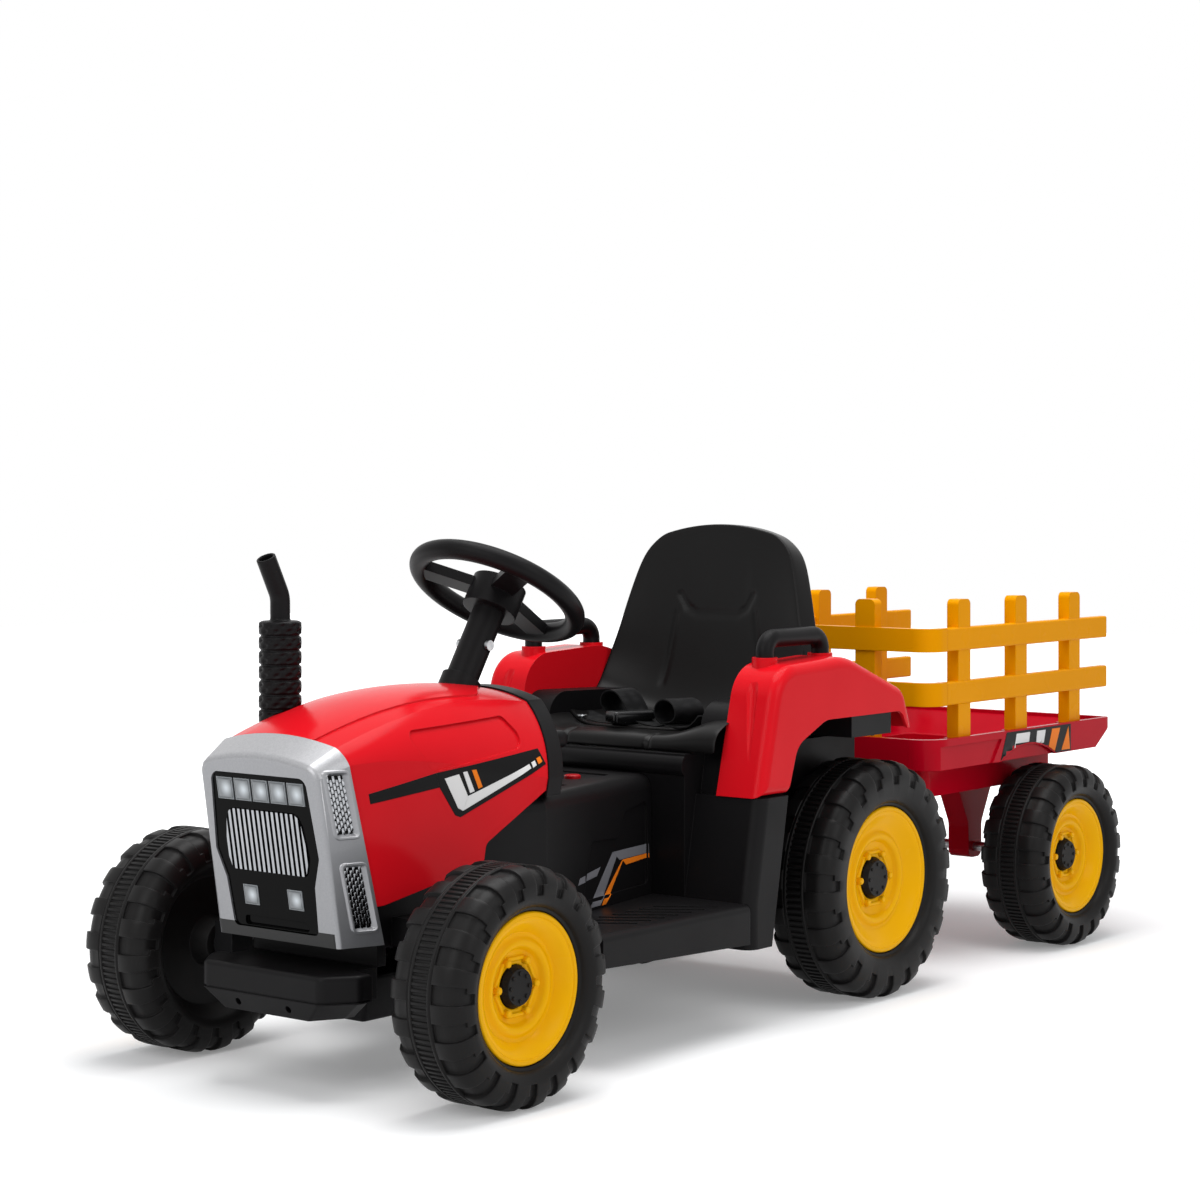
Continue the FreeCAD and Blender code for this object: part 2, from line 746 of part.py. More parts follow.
def vent_meshes():
    """Side grilles: a thin slatted plate just inside each vent window."""
    meshes = []
    skin = nose_form(hood_wall + fit_gap)
    core = nose_form(hood_wall + fit_gap + 2.5)
    for low, height in vent_low:
        plate = vent_prism(low, height, 3.0, -200, 200).common(skin).cut(core)
        slats = []
        for z in spread(vent_slat_count, low + 4, low + height - 4):
            slats.append(block(0, 2 * nose_front_x, -200, 200, z - 2.4, z + 2.4))
        gaps = vent_prism(low, height, -2.0, -200, 200).common(Part.makeCompound(slats))
        meshes += plate.cut(gaps).Solids
    return Part.makeCompound(meshes)


pieces["vent_meshes"] = vent_meshes()


# Console: hollow tunnel that widens towards the dash, open below
def console_ring(x, half, top, inset, foot):
    side = half - inset
    corners = [V(x, -side - 2, foot), V(x, -side, top - inset), V(x, side, top - inset), V(x, side + 2, foot)]
    return rounded_wire(corners, (0, 16, 16, 0))


def console_form(inset, foot):
    front = console_front_x - inset
    rear = seat_base_front + fit_gap + inset
    bend = hood_rear_x + 20
    rings = [console_ring(rear, console_rear_half, console_top, inset, foot),
             console_ring(bend, console_front_half, console_top, inset, foot),
             console_ring(front, console_front_half - console_taper, console_top, inset, foot)]
    return Part.makeLoft(rings, True, True)


def center_console():
    shell = console_form(0.0, floor_top).cut(console_form(wall, floor_top - 1))
    far = 2 * console_front_half
    panel_top = console_top - 34
    cover = side_plate([(seat_base_front + 10, floor_top + 12), (seat_base_front + 150, floor_top + 12),
                        (seat_base_front + 132, panel_top - 24), (seat_base_front + 76, panel_top - 26),
                        (seat_base_front + 60, panel_top), (seat_base_front + 10, panel_top + 6)],
                       -far, far, (6,)).cut(console_form(1.8, floor_top - 1))
    tray = plan_plate([(start_button_x - 40, -50), (start_button_x + 60, -62), (start_button_x + 60, 50),
                       (start_button_x - 40, 42)], console_top - tray_depth, console_top + 1, (10,))
    button_hole = rod(V(start_button_x, start_button_y, 0), V(start_button_x, start_button_y,
                                                              2 * console_top),
                      button_diameter + 2 * fit_gap)
    button_hole = button_hole.common(block(0, 2 * wheelbase, -far, far, console_top - 3 * wall,
                                           2 * console_top))
    slot = block(lever_x - lever_slot / 2, lever_x + lever_slot / 2, lever_y - lever_width / 2 - 1.5,
                 lever_y + lever_width / 2 + 1.5, console_top - 3 * wall, console_top + 1)
    shaft_way = rod(steering_centre, shaft_foot, shaft_diameter + 2 * wall)
    rails = block(footboard_front - 45, console_front_x + 1, -rail_out - 1, rail_out + 1, floor_top - 1,
                  floor_top + rail_height + 1)
    bosses = [rod(V(x, side, console_top - 3 * wall), V(x, side, console_top - wall + 1), 14)
              for x in (seat_base_front + 40,) for side in (-40, 40)]
    shell = shell.fuse(bosses)
    return shell.cut([cover, tray, button_hole, slot, shaft_way, rails])


pieces["center_console"] = center_console()


def start_button():
    tray_floor = console_top - tray_depth
    foot = tray_floor - wall - 6
    stem = rod(V(start_button_x, start_button_y, foot),
               V(start_button_x, start_button_y, tray_floor + 2 * button_travel), button_diameter)
    top = [edge for edge in stem.Edges if edge.BoundBox.ZMin > tray_floor + 3]
    collar = rod(V(start_button_x, start_button_y, foot),
                 V(start_button_x, start_button_y, console_top - wall - fit_gap), button_diameter + 6)
    return stem.makeFillet(2.0, top).fuse(collar)


pieces["start_button"] = start_button()

lever_pivot_z = console_top - lever_drop


def gear_lever():
    pivot = V(lever_x, lever_y, lever_pivot_z)
    stalk = block(lever_x - 5, lever_x + 5, lever_y - lever_width / 2, lever_y + lever_width / 2,
                  lever_pivot_z - 8, console_top + lever_rise - 18)
    grip = block(lever_x - 24, lever_x + 16, lever_y - 16, lever_y + 16, console_top + lever_rise - 18,
                 console_top + lever_rise)
    grip = round_edges(grip, 7.0, lambda edge: True)
    hub = rod(pivot - ACROSS * (lever_width / 2), pivot + ACROSS * (lever_width / 2), 20)
    return stalk.fuse([grip, hub]).cut(rod(pivot - ACROSS * 30, pivot + ACROSS * 30, lever_pin_diameter
                                           + 2 * shaft_clearance))


pieces["gear_lever"] = gear_lever()


def lever_yoke():
    """Two ears and a pin under the console that carry the gear lever."""
    pivot = V(lever_x, lever_y, lever_pivot_z)
    inner = lever_width / 2 + fit_gap
    ears = [block(lever_x - 10, lever_x + 10, lever_y + y0, lever_y + y1, lever_pivot_z - 8,
                  console_top - wall + 1)
            for y0, y1 in ((-inner - 3, -inner), (inner, inner + 3))]
    pin = rod(pivot - ACROSS * (inner + 3), pivot + ACROSS * (inner + 3), lever_pin_diameter)
    return ears + [pin]


pieces["center_console"] = pieces["center_console"].fuse(lever_yoke())


# Dash cowl: the black band behind the hood, its rear wall and the steering guide tube
def dash_cowl():
    skin = Part.makeLoft([rear_edge(fit_gap, cowl_depth), rear_edge(0.0, fit_gap)], True, True)
    hollow = Part.makeLoft([rear_edge(hood_wall, cowl_depth - hood_wall), rear_edge(hood_wall, -2.0)],
                           True, True)
    cowl = skin.cut(hollow)
    top = steering_centre + down_column * (stem_length + fit_gap)
    foot = steering_centre + down_column * (stem_length + guide_length)
    guide = rod(top, foot, guide_diameter)
    rib_top = hood_crown - 3 * hood_wall
    rear = hood_rear_x - cowl_depth + hood_wall
    rib = side_plate([(rear, rib_top - 60), (foot.x, foot.z + 14), (foot.x - 16, rib_top - 20),
                      (rear, rib_top - 14)], -4, 4)
    cowl = cowl.fuse([guide, rib])
    floor = block(0, 2 * wheelbase, -300, 300, 0, console_top + fit_gap)
    bore = rod(steering_centre, shaft_foot, shaft_diameter + 2 * shaft_clearance)
    return cowl.cut([floor, bore])


pieces["dash_cowl"] = dash_cowl()


# Exhaust stack: ringed muffler and bent outlet pipe, seated on the hood
def exhaust_stack():
    base = V(exhaust_x, exhaust_y, hood_lower_rear + 20)
    muffler_foot = hood_skin.common(Part.makeLine(base, base + UP * 200)).BoundBox.ZMax - 4
    ring_step = (muffler_top - muffler_foot) / muffler_ring_count
    rings = [rod(base, V(exhaust_x, exhaust_y, muffler_top), 2 * muffler_radius - 5)]
    for i in range(muffler_ring_count):
        low = muffler_foot + i * ring_step + 1.5
        ring = Part.makeCylinder(muffler_radius, ring_step - 3, V(exhaust_x, exhaust_y, low))
        rings.append(ring)
    bend_z = exhaust_top - 40
    pipe = swept_tube([V(exhaust_x, exhaust_y, muffler_top - 4), V(exhaust_x, exhaust_y, bend_z),
                       V(exhaust_x + 20, exhaust_y, exhaust_top)], 2 * exhaust_pipe_radius, 26)
    pipe = pipe.cut(swept_tube([V(exhaust_x, exhaust_y, bend_z - 30), V(exhaust_x, exhaust_y, bend_z),
                                V(exhaust_x + 20, exhaust_y, exhaust_top)], 2 * exhaust_pipe_radius - 5, 26))
    return rings[0].fuse(rings[1:] + [pipe]).cut(hood_skin)


pieces["exhaust_stack"] = exhaust_stack()


# Steering wheel with its stem, cross bolt, shaft and horn push
def along_column(distance):
    return steering_centre + down_column * distance


def steering_wheel():
    ring = Part.makeTorus(steering_ring_radius, steering_grip_radius, steering_centre, down_column)
    hub = rod(along_column(-9), along_column(24), 58)
    parts = [hub, rod(along_column(20), along_column(stem_length), stem_diameter)]
    for angle in (90, 215, 325):
        spoke = Part.makeBox(steering_ring_radius - 20, 26, 11, V(20, -13, -4))
        spoke.rotate(V(0, 0, 0), UP, angle + 90)
        spoke.rotate(V(0, 0, 0), ACROSS, -steering_tilt_deg)
        spoke.translate(along_column(3))
        parts.append(spoke)
    well = rod(along_column(-10), along_column(-horn_floor), horn_diameter + 2 * fit_gap)
    bore = rod(along_column(12), along_column(stem_length + 1), shaft_diameter + 2 * shaft_clearance)
    return ring.fuse(parts).cut([well, bore, bolt_hole()])


def bolt_hole():
    middle = along_column(bolt_run)
    reach = ACROSS * (stem_diameter / 2 + 12)
    return rod(middle - reach, middle + reach, bolt_diameter + 2 * shaft_clearance)


def steering_bolt():
    middle = along_column(bolt_run)
    seat = ACROSS * (stem_diameter / 2)
    heads = [rod(middle + seat, middle + seat + ACROSS * 4, 11), rod(middle - seat,
                                                                     middle - seat - ACROSS * 5, 11)]
    return rod(middle - seat, middle + seat, bolt_diameter).fuse(heads)


def steering_shaft():
    start = along_column(12 + fit_gap)
    straight = rod(start, shaft_foot + down_column * 6, shaft_diameter)
    lift = down_column * -crank_diameter
    crank = rod(shaft_foot + lift, crank_tip + lift - back_from_column * 2, crank_diameter)
    pin = rod(crank_tip - UP * (tie_rod_thickness / 2 + 6), crank_tip + UP * 12, crank_pin_diameter)
    return straight.fuse([crank, pin]).cut(bolt_hole())


def horn_button():
    face = along_column(-horn_floor - horn_travel - 7)
    cap = rod(face, along_column(-horn_floor - horn_travel), horn_diameter)
    top = [edge for edge in cap.Edges if (edge.CenterOfMass - face).Length < 0.5]
    return cap.makeFillet(2.5, top)


pieces["steering_wheel"] = steering_wheel()
pieces["steering_bolt"] = steering_bolt()
pieces["steering_shaft"] = steering_shaft()
pieces["horn_button"] = horn_button()

arm_top = tie_rod_z - tie_rod_thickness / 2 - fit_gap


def slotted(x, y, width, length):
    """Upright slot that runs along X."""
    ends = [Part.makeCylinder(width / 2, 60, V(x + shift, y, tie_rod_z - 30))
            for shift in (-length / 2, length / 2)]
    middle = block(x - length / 2, x + length / 2, y - width / 2, y + width / 2, tie_rod_z - 30,
                   tie_rod_z + 30)
    return ends[0].fuse([ends[1], middle])


def tie_rod():
    low = tie_rod_z - tie_rod_thickness / 2
    half = kingpin_out + tie_rod_width / 2
    side = tie_rod_width / 2
    bar = plan_plate([(tie_rod_x - side, -half), (tie_rod_x + side + 2, -half), (tie_rod_x + side + 2, half),
                      (tie_rod_x - side, half)], low, low + tie_rod_thickness, (side - 1,))
    middle = plan_plate([(tie_rod_x - 16, -20), (tie_rod_x + 20, -20), (tie_rod_x + 20, 20),
                         (tie_rod_x - 16, 20)], low, low + tie_rod_thickness, (6,))
    pin_play = 2 * fit_gap
    arm_drift = knuckle_arm * (1 - math.cos(steer_lock))
    crank_drift = crank_radius * (1 - math.cos(wheel_lock))
    slots = [slotted(tie_rod_x + arm_drift / 2, y, arm_pin_diameter + pin_play, arm_drift + 1)
             for y in (-kingpin_out, kingpin_out)]
    crank_play = 9 * pin_play
    slots.append(slotted(tie_rod_x + crank_drift / 2, 0, crank_pin_diameter + crank_play,
                         crank_drift + crank_pin_diameter + 3))
    return bar.fuse(middle).cut(slots)


pieces["tie_rod"] = tie_rod()


def knuckle():
    top = beam_bottom - fit_gap
    body = block(wheelbase - 14, wheelbase + 14, kingpin_out - 13, kingpin_out + 12, front_axle_z - 14, top)
    kingpin = rod(V(wheelbase, kingpin_out, front_axle_z), V(wheelbase, kingpin_out, beam_top + 10),
                  kingpin_diameter)
    clip = rod(V(wheelbase, kingpin_out, beam_top + fit_gap), V(wheelbase, kingpin_out, beam_top + 4.5), 22)
    stub = rod(V(wheelbase, kingpin_out, front_axle_z), V(wheelbase, front_wheel_out + axle_reach,
                                                          front_axle_z),
               axle_diameter)
    washer = rod(V(wheelbase, kingpin_out, front_axle_z), V(wheelbase, kingpin_out + kingpin_gap - fit_gap,
                                                            front_axle_z),
                 26)
    arm = plan_plate([(tie_rod_x - 9, kingpin_out - 9), (wheelbase, kingpin_out - 11), (wheelbase,
                                                                                        kingpin_out + 11),
                      (tie_rod_x - 9, kingpin_out + 9)], arm_top - arm_thickness, arm_top, (8, 0, 0, 8))
    pin = rod(V(tie_rod_x, kingpin_out, arm_top - 2),
              V(tie_rod_x, kingpin_out, tie_rod_z + tie_rod_thickness / 2 + 5), arm_pin_diameter)
    return body.fuse([kingpin, clip, stub, washer, arm, pin])


pieces["knuckle_left"] = knuckle()
pieces["knuckle_right"] = mirrored(pieces["knuckle_left"])


# Seat fixing: one pair of screws through the front of the seat into the deck
def seat_screw_shanks(diameter):
    return [rod(V(seat_front_x - 16, y, deck_top - 14), V(seat_front_x - 16, y, seat_pan + 6), diameter)
            for y in (-seat_screw_y, seat_screw_y)]


def seat_screw_holes():
    return seat_screw_shanks(seat_screw_diameter + 2 * shaft_clearance)


# Seat base: hollow rear body with deck, side walls, leaning front columns and wheel-arch liners
def column_front(z):
    return seat_base_front - column_lean * max(0.0, z - floor_top)


def column_rear(z):
    return rear_tyre_radius + column_gap - column_lean * (z - floor_top)


def column(inset):
    """One front column from the floor to the foot of its mudguard."""
    low = column_bottom - inset
    top = column_top - inset
    outline = [(column_rear(low) + inset, low), (seat_base_front - inset, low), (seat_base_front - inset,
                                                                                 floor_top),
               (column_front(top) - inset, top), (column_rear(top) + inset, top)]
    return side_plate(outline, base_half - 5 * wall - inset, fender_outer - 2 * inset)


def flank(inset):
    """Side wall between the seat and a mudguard."""
    low = arch_z - inset
    foot = column_top - inset
    top = wall_top - inset
    outline = [(seat_base_rear + inset, low), (column_rear(low) + inset, low), (column_rear(foot) + inset,
                                                                                foot),
               (column_front(foot) - 2 * wall - inset, foot), (column_front(top) - 2 * wall - inset, top),
               (seat_base_rear + inset, top - 8)]
    return side_plate(outline, base_half - 10 + inset, fender_inner - fit_gap - inset, (0, 0, 0, 0, 30, 8))


def seat_base():
    body = block(seat_base_rear, seat_base_front, -base_half, base_half, column_bottom, deck_top)
    lip_foot = console_top + fit_gap
    lip = side_plate([(seat_base_front - 40, lip_foot), (seat_base_front + 5, lip_foot),
                      (seat_base_front + 5, deck_top), (seat_base_front - 40, deck_top)],
                     -base_half, base_half, (0, 8, 12, 0))
    post = round_edges(column(0.0), 14.0, lambda edge: edge.BoundBox.YMin > fender_outer - 1
                       and edge.CenterOfMass.x > column_front(edge.CenterOfMass.z) - 5)
    liner = block(seat_base_rear + 50, 62, fender_inner - 2 * wall, fender_outer - wall - fit_gap,
                  arch_z, arch_z + arch_step - fit_gap)
    back = block(seat_base_rear, seat_base_rear + wall, fit_gap - fender_inner, fender_inner - fit_gap,
                 deck_top - 2, wall_top - 10)
    body = body.fuse([lip, back] + both_sides(post) + both_sides(flank(0.0)) + both_sides(liner))
    hollow = block(seat_base_rear + wall, seat_base_front - wall, wall - base_half, base_half - wall,
                   column_bottom - 1, deck_top - wall - 26)
    axle_way = rod(V(0, -base_half - 1, rear_axle_z), V(0, base_half + 1, rear_axle_z), axle_diameter + 14)
    return body.cut([hollow, axle_way] + both_sides(column(wall)) + both_sides(flank(wall))
                    + seat_screw_holes())


pieces["seat_base"] = seat_base()


# Mudguards: open-bottomed shells over the rear wheels, fluted in front
def fender_outline(inset):
    """Side view of a mudguard from its foot on the column over the wheel to the tail."""
    return [(column_front(column_top) + 2 - inset, column_top),
            (column_front(fender_top) - 6 - inset, fender_top - 4 - inset), (handle_rear_x, fender_top
                                                                             + 2 - inset),
            (seat_base_rear + 24 + inset, fender_top - 42 - inset), (seat_base_rear + 8 + inset, arch_z + 4)]


def outer_line(edge):
    """True for the edges on the outside of a mudguard, away from its wheel arch."""
    point = edge.CenterOfMass
    if point.y < fender_outer - 1 or edge.BoundBox.YLength > 0.1 or point.x < seat_base_rear + 28:
        return False
    return point.z > arch_z + arch_step + 4 or point.x > column_rear(point.z) + 12


def fender():
    arch = [(seat_base_rear + 34, arch_z + arch_step), (rear_tyre_radius - 16, arch_z + arch_step),
            (column_rear(arch_z) - 8, arch_z), (column_rear(column_top), column_top)]
    outline = fender_outline(0.0) + [(seat_base_rear + 22, arch_z + 4)] + arch
    solid = side_plate(outline, fender_inner, fender_outer, (0, 45, 100, 26, 0, 0, 14, 40, 30, 0))
    solid = round_edges(solid, 12.0, outer_line)
    inner = fender_outline(wall) + [(seat_base_rear + 22, arch_z - 60), (column_rear(column_top),
                                                                         arch_z - 200)]
    hollow = side_plate(inner, fender_inner + wall, fender_outer - wall, (0, 41, 100, 22, 0, 0, 0))
    flute = Part.makeCone(1.5, 13, 150, V(column_front(column_top) + 1, fender_outer - 20, column_top + 14),
                          V(-4 - 140 * column_lean, -16, 140))
    return solid.cut([hollow, flute])


def fender_left():
    collars = []
    sockets = []
    for x in (handle_front_x, handle_rear_x):
        collars.append(rod(V(x, handle_y, fender_top - 24), V(x, handle_y, fender_top + 4), handle_tube + 8))
        sockets.append(rod(V(x, handle_y, fender_top - 10), V(x, handle_y, fender_top + 40),
                           handle_tube + 2 * fit_gap))
    return fender().fuse(collars).cut(sockets)


def grab_handle_left():
    foot = fender_top - 10 + fit_gap
    top = fender_top + handle_rise - handle_tube / 2
    return swept_tube([V(handle_front_x, handle_y, foot), V(handle_front_x, handle_y, top),
                       V(handle_rear_x, handle_y, top), V(handle_rear_x, handle_y, foot)], handle_tube, 16)


pieces["fender_left"] = fender_left()
pieces["fender_right"] = mirrored(pieces["fender_left"])
pieces["grab_handle_left"] = grab_handle_left()
pieces["grab_handle_right"] = mirrored(pieces["grab_handle_left"])


# Seat: one moulded shell, pan and back in a single sweep with turned-up sides
def seat_row(place, tilt_deg, curl, depth):
    """Points across the face of the seat, its sides turned up, and the same points one depth behind."""
    normal = V(math.sin(math.radians(tilt_deg)), 0, math.cos(math.radians(tilt_deg)))
    face = [place + ACROSS * (t * (seat_half + 4)) + normal * (curl * abs(t) ** 3) for t in spread(7, -1.0,
                                                                                                   1.0)]
    return face, [point - normal * depth for point in face]


def seat():
    rise = seat_top - seat_pan
    rows = [seat_row(V(seat_front_x, 0, seat_pan + 1), 8, 3, seat_shell),
            seat_row(V(0.72 * seat_front_x, 0, seat_pan), 0, 12, seat_shell),
            seat_row(V(0.48 * seat_front_x, 0, seat_pan + 3), 8, 26, seat_shell),
            seat_row(V(0.31 * seat_front_x, 0, seat_pan + 0.11 * rise), 50, 32, seat_shell + 6),
            seat_row(V(0.23 * seat_front_x, 0, seat_pan + 0.4 * rise), 84, 18, seat_back),
            seat_row(V(0.21 * seat_front_x, 0, seat_pan + 0.72 * rise), 86, 12, seat_back - 2),
            seat_row(V(0.195 * seat_front_x, 0, seat_pan + rise + 2), 85, 6, seat_back - 12)]
    skins = []
    for points in zip(*rows):
        surface = Part.BSplineSurface()
        surface.interpolate([list(row) for row in points])
        skins.append(surface.toShape())
    rims = [Part.makeRuledSurface(a, b) for a, b in zip(skins[0].Edges, skins[1].Edges)]
    shell = Part.makeShell(skins + rims)
    shell.sewShape()
    solid = Part.makeSolid(shell)
    if solid.Volume < 0:
        solid.reverse()
    between_walls = base_half - 10 - 1
    half_view = [(between_walls, seat_pan - 40), (between_walls, wall_top + 2), (seat_half, wall_top + 32),
                 (seat_half - 1, seat_pan + 0.42 * rise), (seat_top_half, seat_top)]
    front_view = half_view + [(-y, z) for y, z in reversed(half_view)]
    corners = [V(2 * seat_base_rear, y, z) for y, z in front_view]
    radii = (10, 12, 16, 40, 55, 55, 40, 16, 12, 10)
    outline = Part.Face(rounded_wire(corners, radii)).extrude(V(2 * seat_base_front, 0, 0))
    return solid.common(outline).cut(seat_screw_holes())


def raised_seat(height):
    """The seat moved straight up, to shape what lies on it."""
    copy = whole_seat.copy()
    copy.translate(UP * height)
    return copy


whole_seat = seat()
pieces["seat"] = whole_seat


def seat_screws():
    heads = [rod(V(seat_front_x - 16, y, seat_pan - 2), V(seat_front_x - 16, y, seat_pan + 6), 14)
             for y in (-seat_screw_y, seat_screw_y)]
    shanks = seat_screw_shanks(seat_screw_diameter)
    return Part.makeCompound([shank.fuse(head.cut(whole_seat)) for head, shank in zip(heads, shanks)])


pieces["seat_screws"] = seat_screws()


# Lap belt: webbing that lies across the seat in two loose loops, with its buckle on top
belt_x = 0.5 * seat_front_x


def belt_loop(middle, reach, rise):
    """Arch of webbing across the seat."""
    arcs = []
    for skin in (0.0, belt_thickness):
        arcs.append(Part.Arc(V(belt_x, middle - reach + skin, seat_pan - 4),
                             V(belt_x, middle, seat_pan + rise - skin),
                             V(belt_x, middle + reach - skin, seat_pan - 4)).toShape())
    ends = [Part.makeLine(arcs[0].Vertexes[i].Point, arcs[1].Vertexes[i].Point) for i in (0, 1)]
    face = Part.Face(Part.Wire(Part.__sortEdges__(arcs + ends)))
    return face.extrude(V(belt_width, 0, 0))


def seat_belt():
    bed = block(belt_x, belt_x + belt_width, -belt_reach, belt_reach, seat_pan - 6, seat_pan + belt_rise)
    bed = bed.common(raised_seat(fit_gap + belt_thickness))
    loops = [belt_loop(0.57 * belt_reach, 0.4 * belt_reach, belt_rise),
             belt_loop(-0.57 * belt_reach, 0.4 * belt_reach, 0.8 * belt_rise)]
    return bed.fuse(loops).cut(raised_seat(fit_gap))


def belt_buckle():
    low = seat_pan - 4
    high = seat_pan + fit_gap + belt_thickness + buckle_height
    half = 0.14 * belt_reach
    case = block(belt_x - 6, belt_x - 6 + buckle_length, -half, half, low, high)
    case = round_edges(case, 4.0, lambda edge: edge.BoundBox.ZMin > high - 1 or edge.BoundBox.ZLength > 5)
    return case.cut(raised_seat(2 * fit_gap + belt_thickness))


pieces["seat_belt"] = seat_belt()
pieces["belt_buckle"] = belt_buckle()


# Rear drive: axle, two gearboxes with motors, battery
def rear_axle():
    reach = rear_wheel_out + axle_reach
    return rod(V(0, -reach, rear_axle_z), V(0, reach, rear_axle_z), axle_diameter)


def gearbox():
    outer = base_half - wall - fit_gap
    inner = outer - 34
    case = side_plate([(-40, rear_axle_z - 34), (34, rear_axle_z - 40), (78, rear_axle_z - 6),
                       (78, rear_axle_z + 36), (20, rear_axle_z + 42), (-40, rear_axle_z + 30)],
                      inner, outer, (24, 24, 14, 14, 20, 24))
    motor = rod(V(56, inner - 46, rear_axle_z + 14), V(56, inner + 1, rear_axle_z + 14), 36)
    spigot = rod(V(0, outer - 1, rear_axle_z), V(0, rear_wheel_out - half_tyre - fit_gap, rear_axle_z),
                 axle_diameter + 13)
    bore = rod(V(0, inner - 1, rear_axle_z), V(0, rear_wheel_out, rear_axle_z), axle_diameter
               + 2 * shaft_clearance)
    return case.fuse([motor, spigot]).cut(bore)


def battery():
    low = floor_top + fit_gap
    case = block(seat_base_front + 40, seat_base_front + 140, -35, 35, low, low + 94)
    terminals = [block(seat_base_front + 52, seat_base_front + 58, y - 3, y + 3, low + 93, low + 101)
                 for y in (-22, 22)]
    return case.fuse(terminals)


pieces["rear_axle"] = rear_axle()
pieces["gearbox_left"] = gearbox()
pieces["gearbox_right"] = mirrored(pieces["gearbox_left"])
pieces["battery"] = battery()


# Pedal on the right footboard, hinged on two ears at its heel
def accelerator_pedal():
    heel = V(pedal_heel_x, pedal_y, floor_top + 8)
    tread = side_plate([(pedal_heel_x, heel.z - 4), (pedal_heel_x + pedal_length, heel.z - 4 + pedal_rise),
                        (pedal_heel_x + pedal_length - 3, heel.z + 4 + pedal_rise), (pedal_heel_x, heel.z
                                                                                     + 4)],
                       pedal_y - pedal_half, pedal_y + pedal_half)
    barrel = rod(heel - ACROSS * (pedal_half - 8), heel + ACROSS * (pedal_half - 8), 12)
    grips = [block(x, x + 4, pedal_y - pedal_half + 4, pedal_y + pedal_half - 4, heel.z, floor_top + 60)
             for x in spread(5, pedal_heel_x + 16, pedal_heel_x + pedal_length - 16)]
    slope = side_plate([(pedal_heel_x, heel.z), (pedal_heel_x + pedal_length, heel.z + pedal_rise),
                        (pedal_heel_x + pedal_length, heel.z + 6 + pedal_rise), (pedal_heel_x, heel.z + 6)],
                       pedal_y - pedal_half, pedal_y + pedal_half)
    tread = tread.cut(both_ears(heel, 1.0)).fuse([barrel] + [grip.common(slope) for grip in grips])
    return tread.cut(rod(heel - ACROSS * 60, heel + ACROSS * 60, pedal_pin_diameter + 2 * shaft_clearance))


def both_ears(heel, grow):
    """The two ears at the pedal's heel, grown for the notches that clear them."""
    inner = pedal_half - 8 + fit_gap - grow
    outer = inner + 5 + 2 * grow
    reach = 7 + 2 * grow
    left = block(heel.x - reach, heel.x + reach, inner, outer, floor_top, heel.z + 6 + 2 * grow)
    ears = both_sides(left)
    for ear in ears:
        ear.translate(ACROSS * heel.y)
    return ears


def pedal_ears():
    heel = V(pedal_heel_x, pedal_y, floor_top + 8)
    pin = rod(heel - ACROSS * (pedal_half - 3), heel + ACROSS * (pedal_half - 3), pedal_pin_diameter)
    return both_ears(heel, 0.0) + [pin]


pieces["accelerator_pedal"] = accelerator_pedal()
pieces["floor_pan"] = pieces["floor_pan"].fuse(pedal_ears())


# Hitch: clevis on the rear body with its pin, and the trailer drawbar between its jaws
def hitch_bracket():
    jaw = 6.0
    gap = drawbar_thickness + 2 * fit_gap
    low = drawbar_z - fit_gap
    plate = block(seat_base_rear - 5, seat_base_rear, -40, 40, low - 30, low + gap + 26)
    jaws = []
    for z in (low - jaw, low + gap):
        jaws.append(plan_plate([(seat_base_rear - 4, -24), (seat_base_rear - 4, 24), (hitch_x - 14, 14),
                                (hitch_x - 14, -14)], z, z + jaw, (0, 0, 12, 12)))
    pin = rod(V(hitch_x, 0, low - jaw - 8), V(hitch_x, 0, low + gap + jaw + 8), hitch_pin_diameter)
    knob = rod(V(hitch_x, 0, low + gap + jaw), V(hitch_x, 0, low + gap + jaw + 9), 22)
    return plate.fuse(jaws + [pin, knob])


def drawbar():
    rear = tub_front_x - 60
    bar = plan_plate([(hitch_x + 13, -13), (hitch_x + 13, 13), (tub_front_x, 30), (rear, 44),
                      (rear, -44), (tub_front_x, -30)], drawbar_z, drawbar_z + drawbar_thickness, (12, 12,
                                                                                                   0, 0, 0,
                                                                                                   0))
    eye = rod(V(hitch_x, 0, drawbar_z - 1), V(hitch_x, 0, drawbar_z + drawbar_thickness + 1),
              hitch_pin_diameter + 2 * shaft_clearance)
    ramp = block(tub_front_x - 60, tub_front_x - 12, -30, 30, drawbar_z + 1, tray_bottom - fit_gap / 3)
    return bar.fuse(ramp).cut(eye)


pieces["hitch_bracket"] = hitch_bracket()
pieces["drawbar"] = drawbar()


# Trailer tub: shallow tray over the wheels with a deeper well between them, two axle legs
def tub_plan(inset):
    return [(tub_front_x - inset, inset - tub_half_width), (tub_front_x - inset, tub_half_width - inset),
            (tub_rear_x + inset, tub_half_width - inset), (tub_rear_x + inset, inset - tub_half_width)]


def well_plan(inset):
    front = tub_front_x - 64 - inset
    rear = tub_rear_x + tail_run + 18 + inset
    half = well_half - inset
    return [(front, -half), (front, half), (rear, half), (rear, -half)]


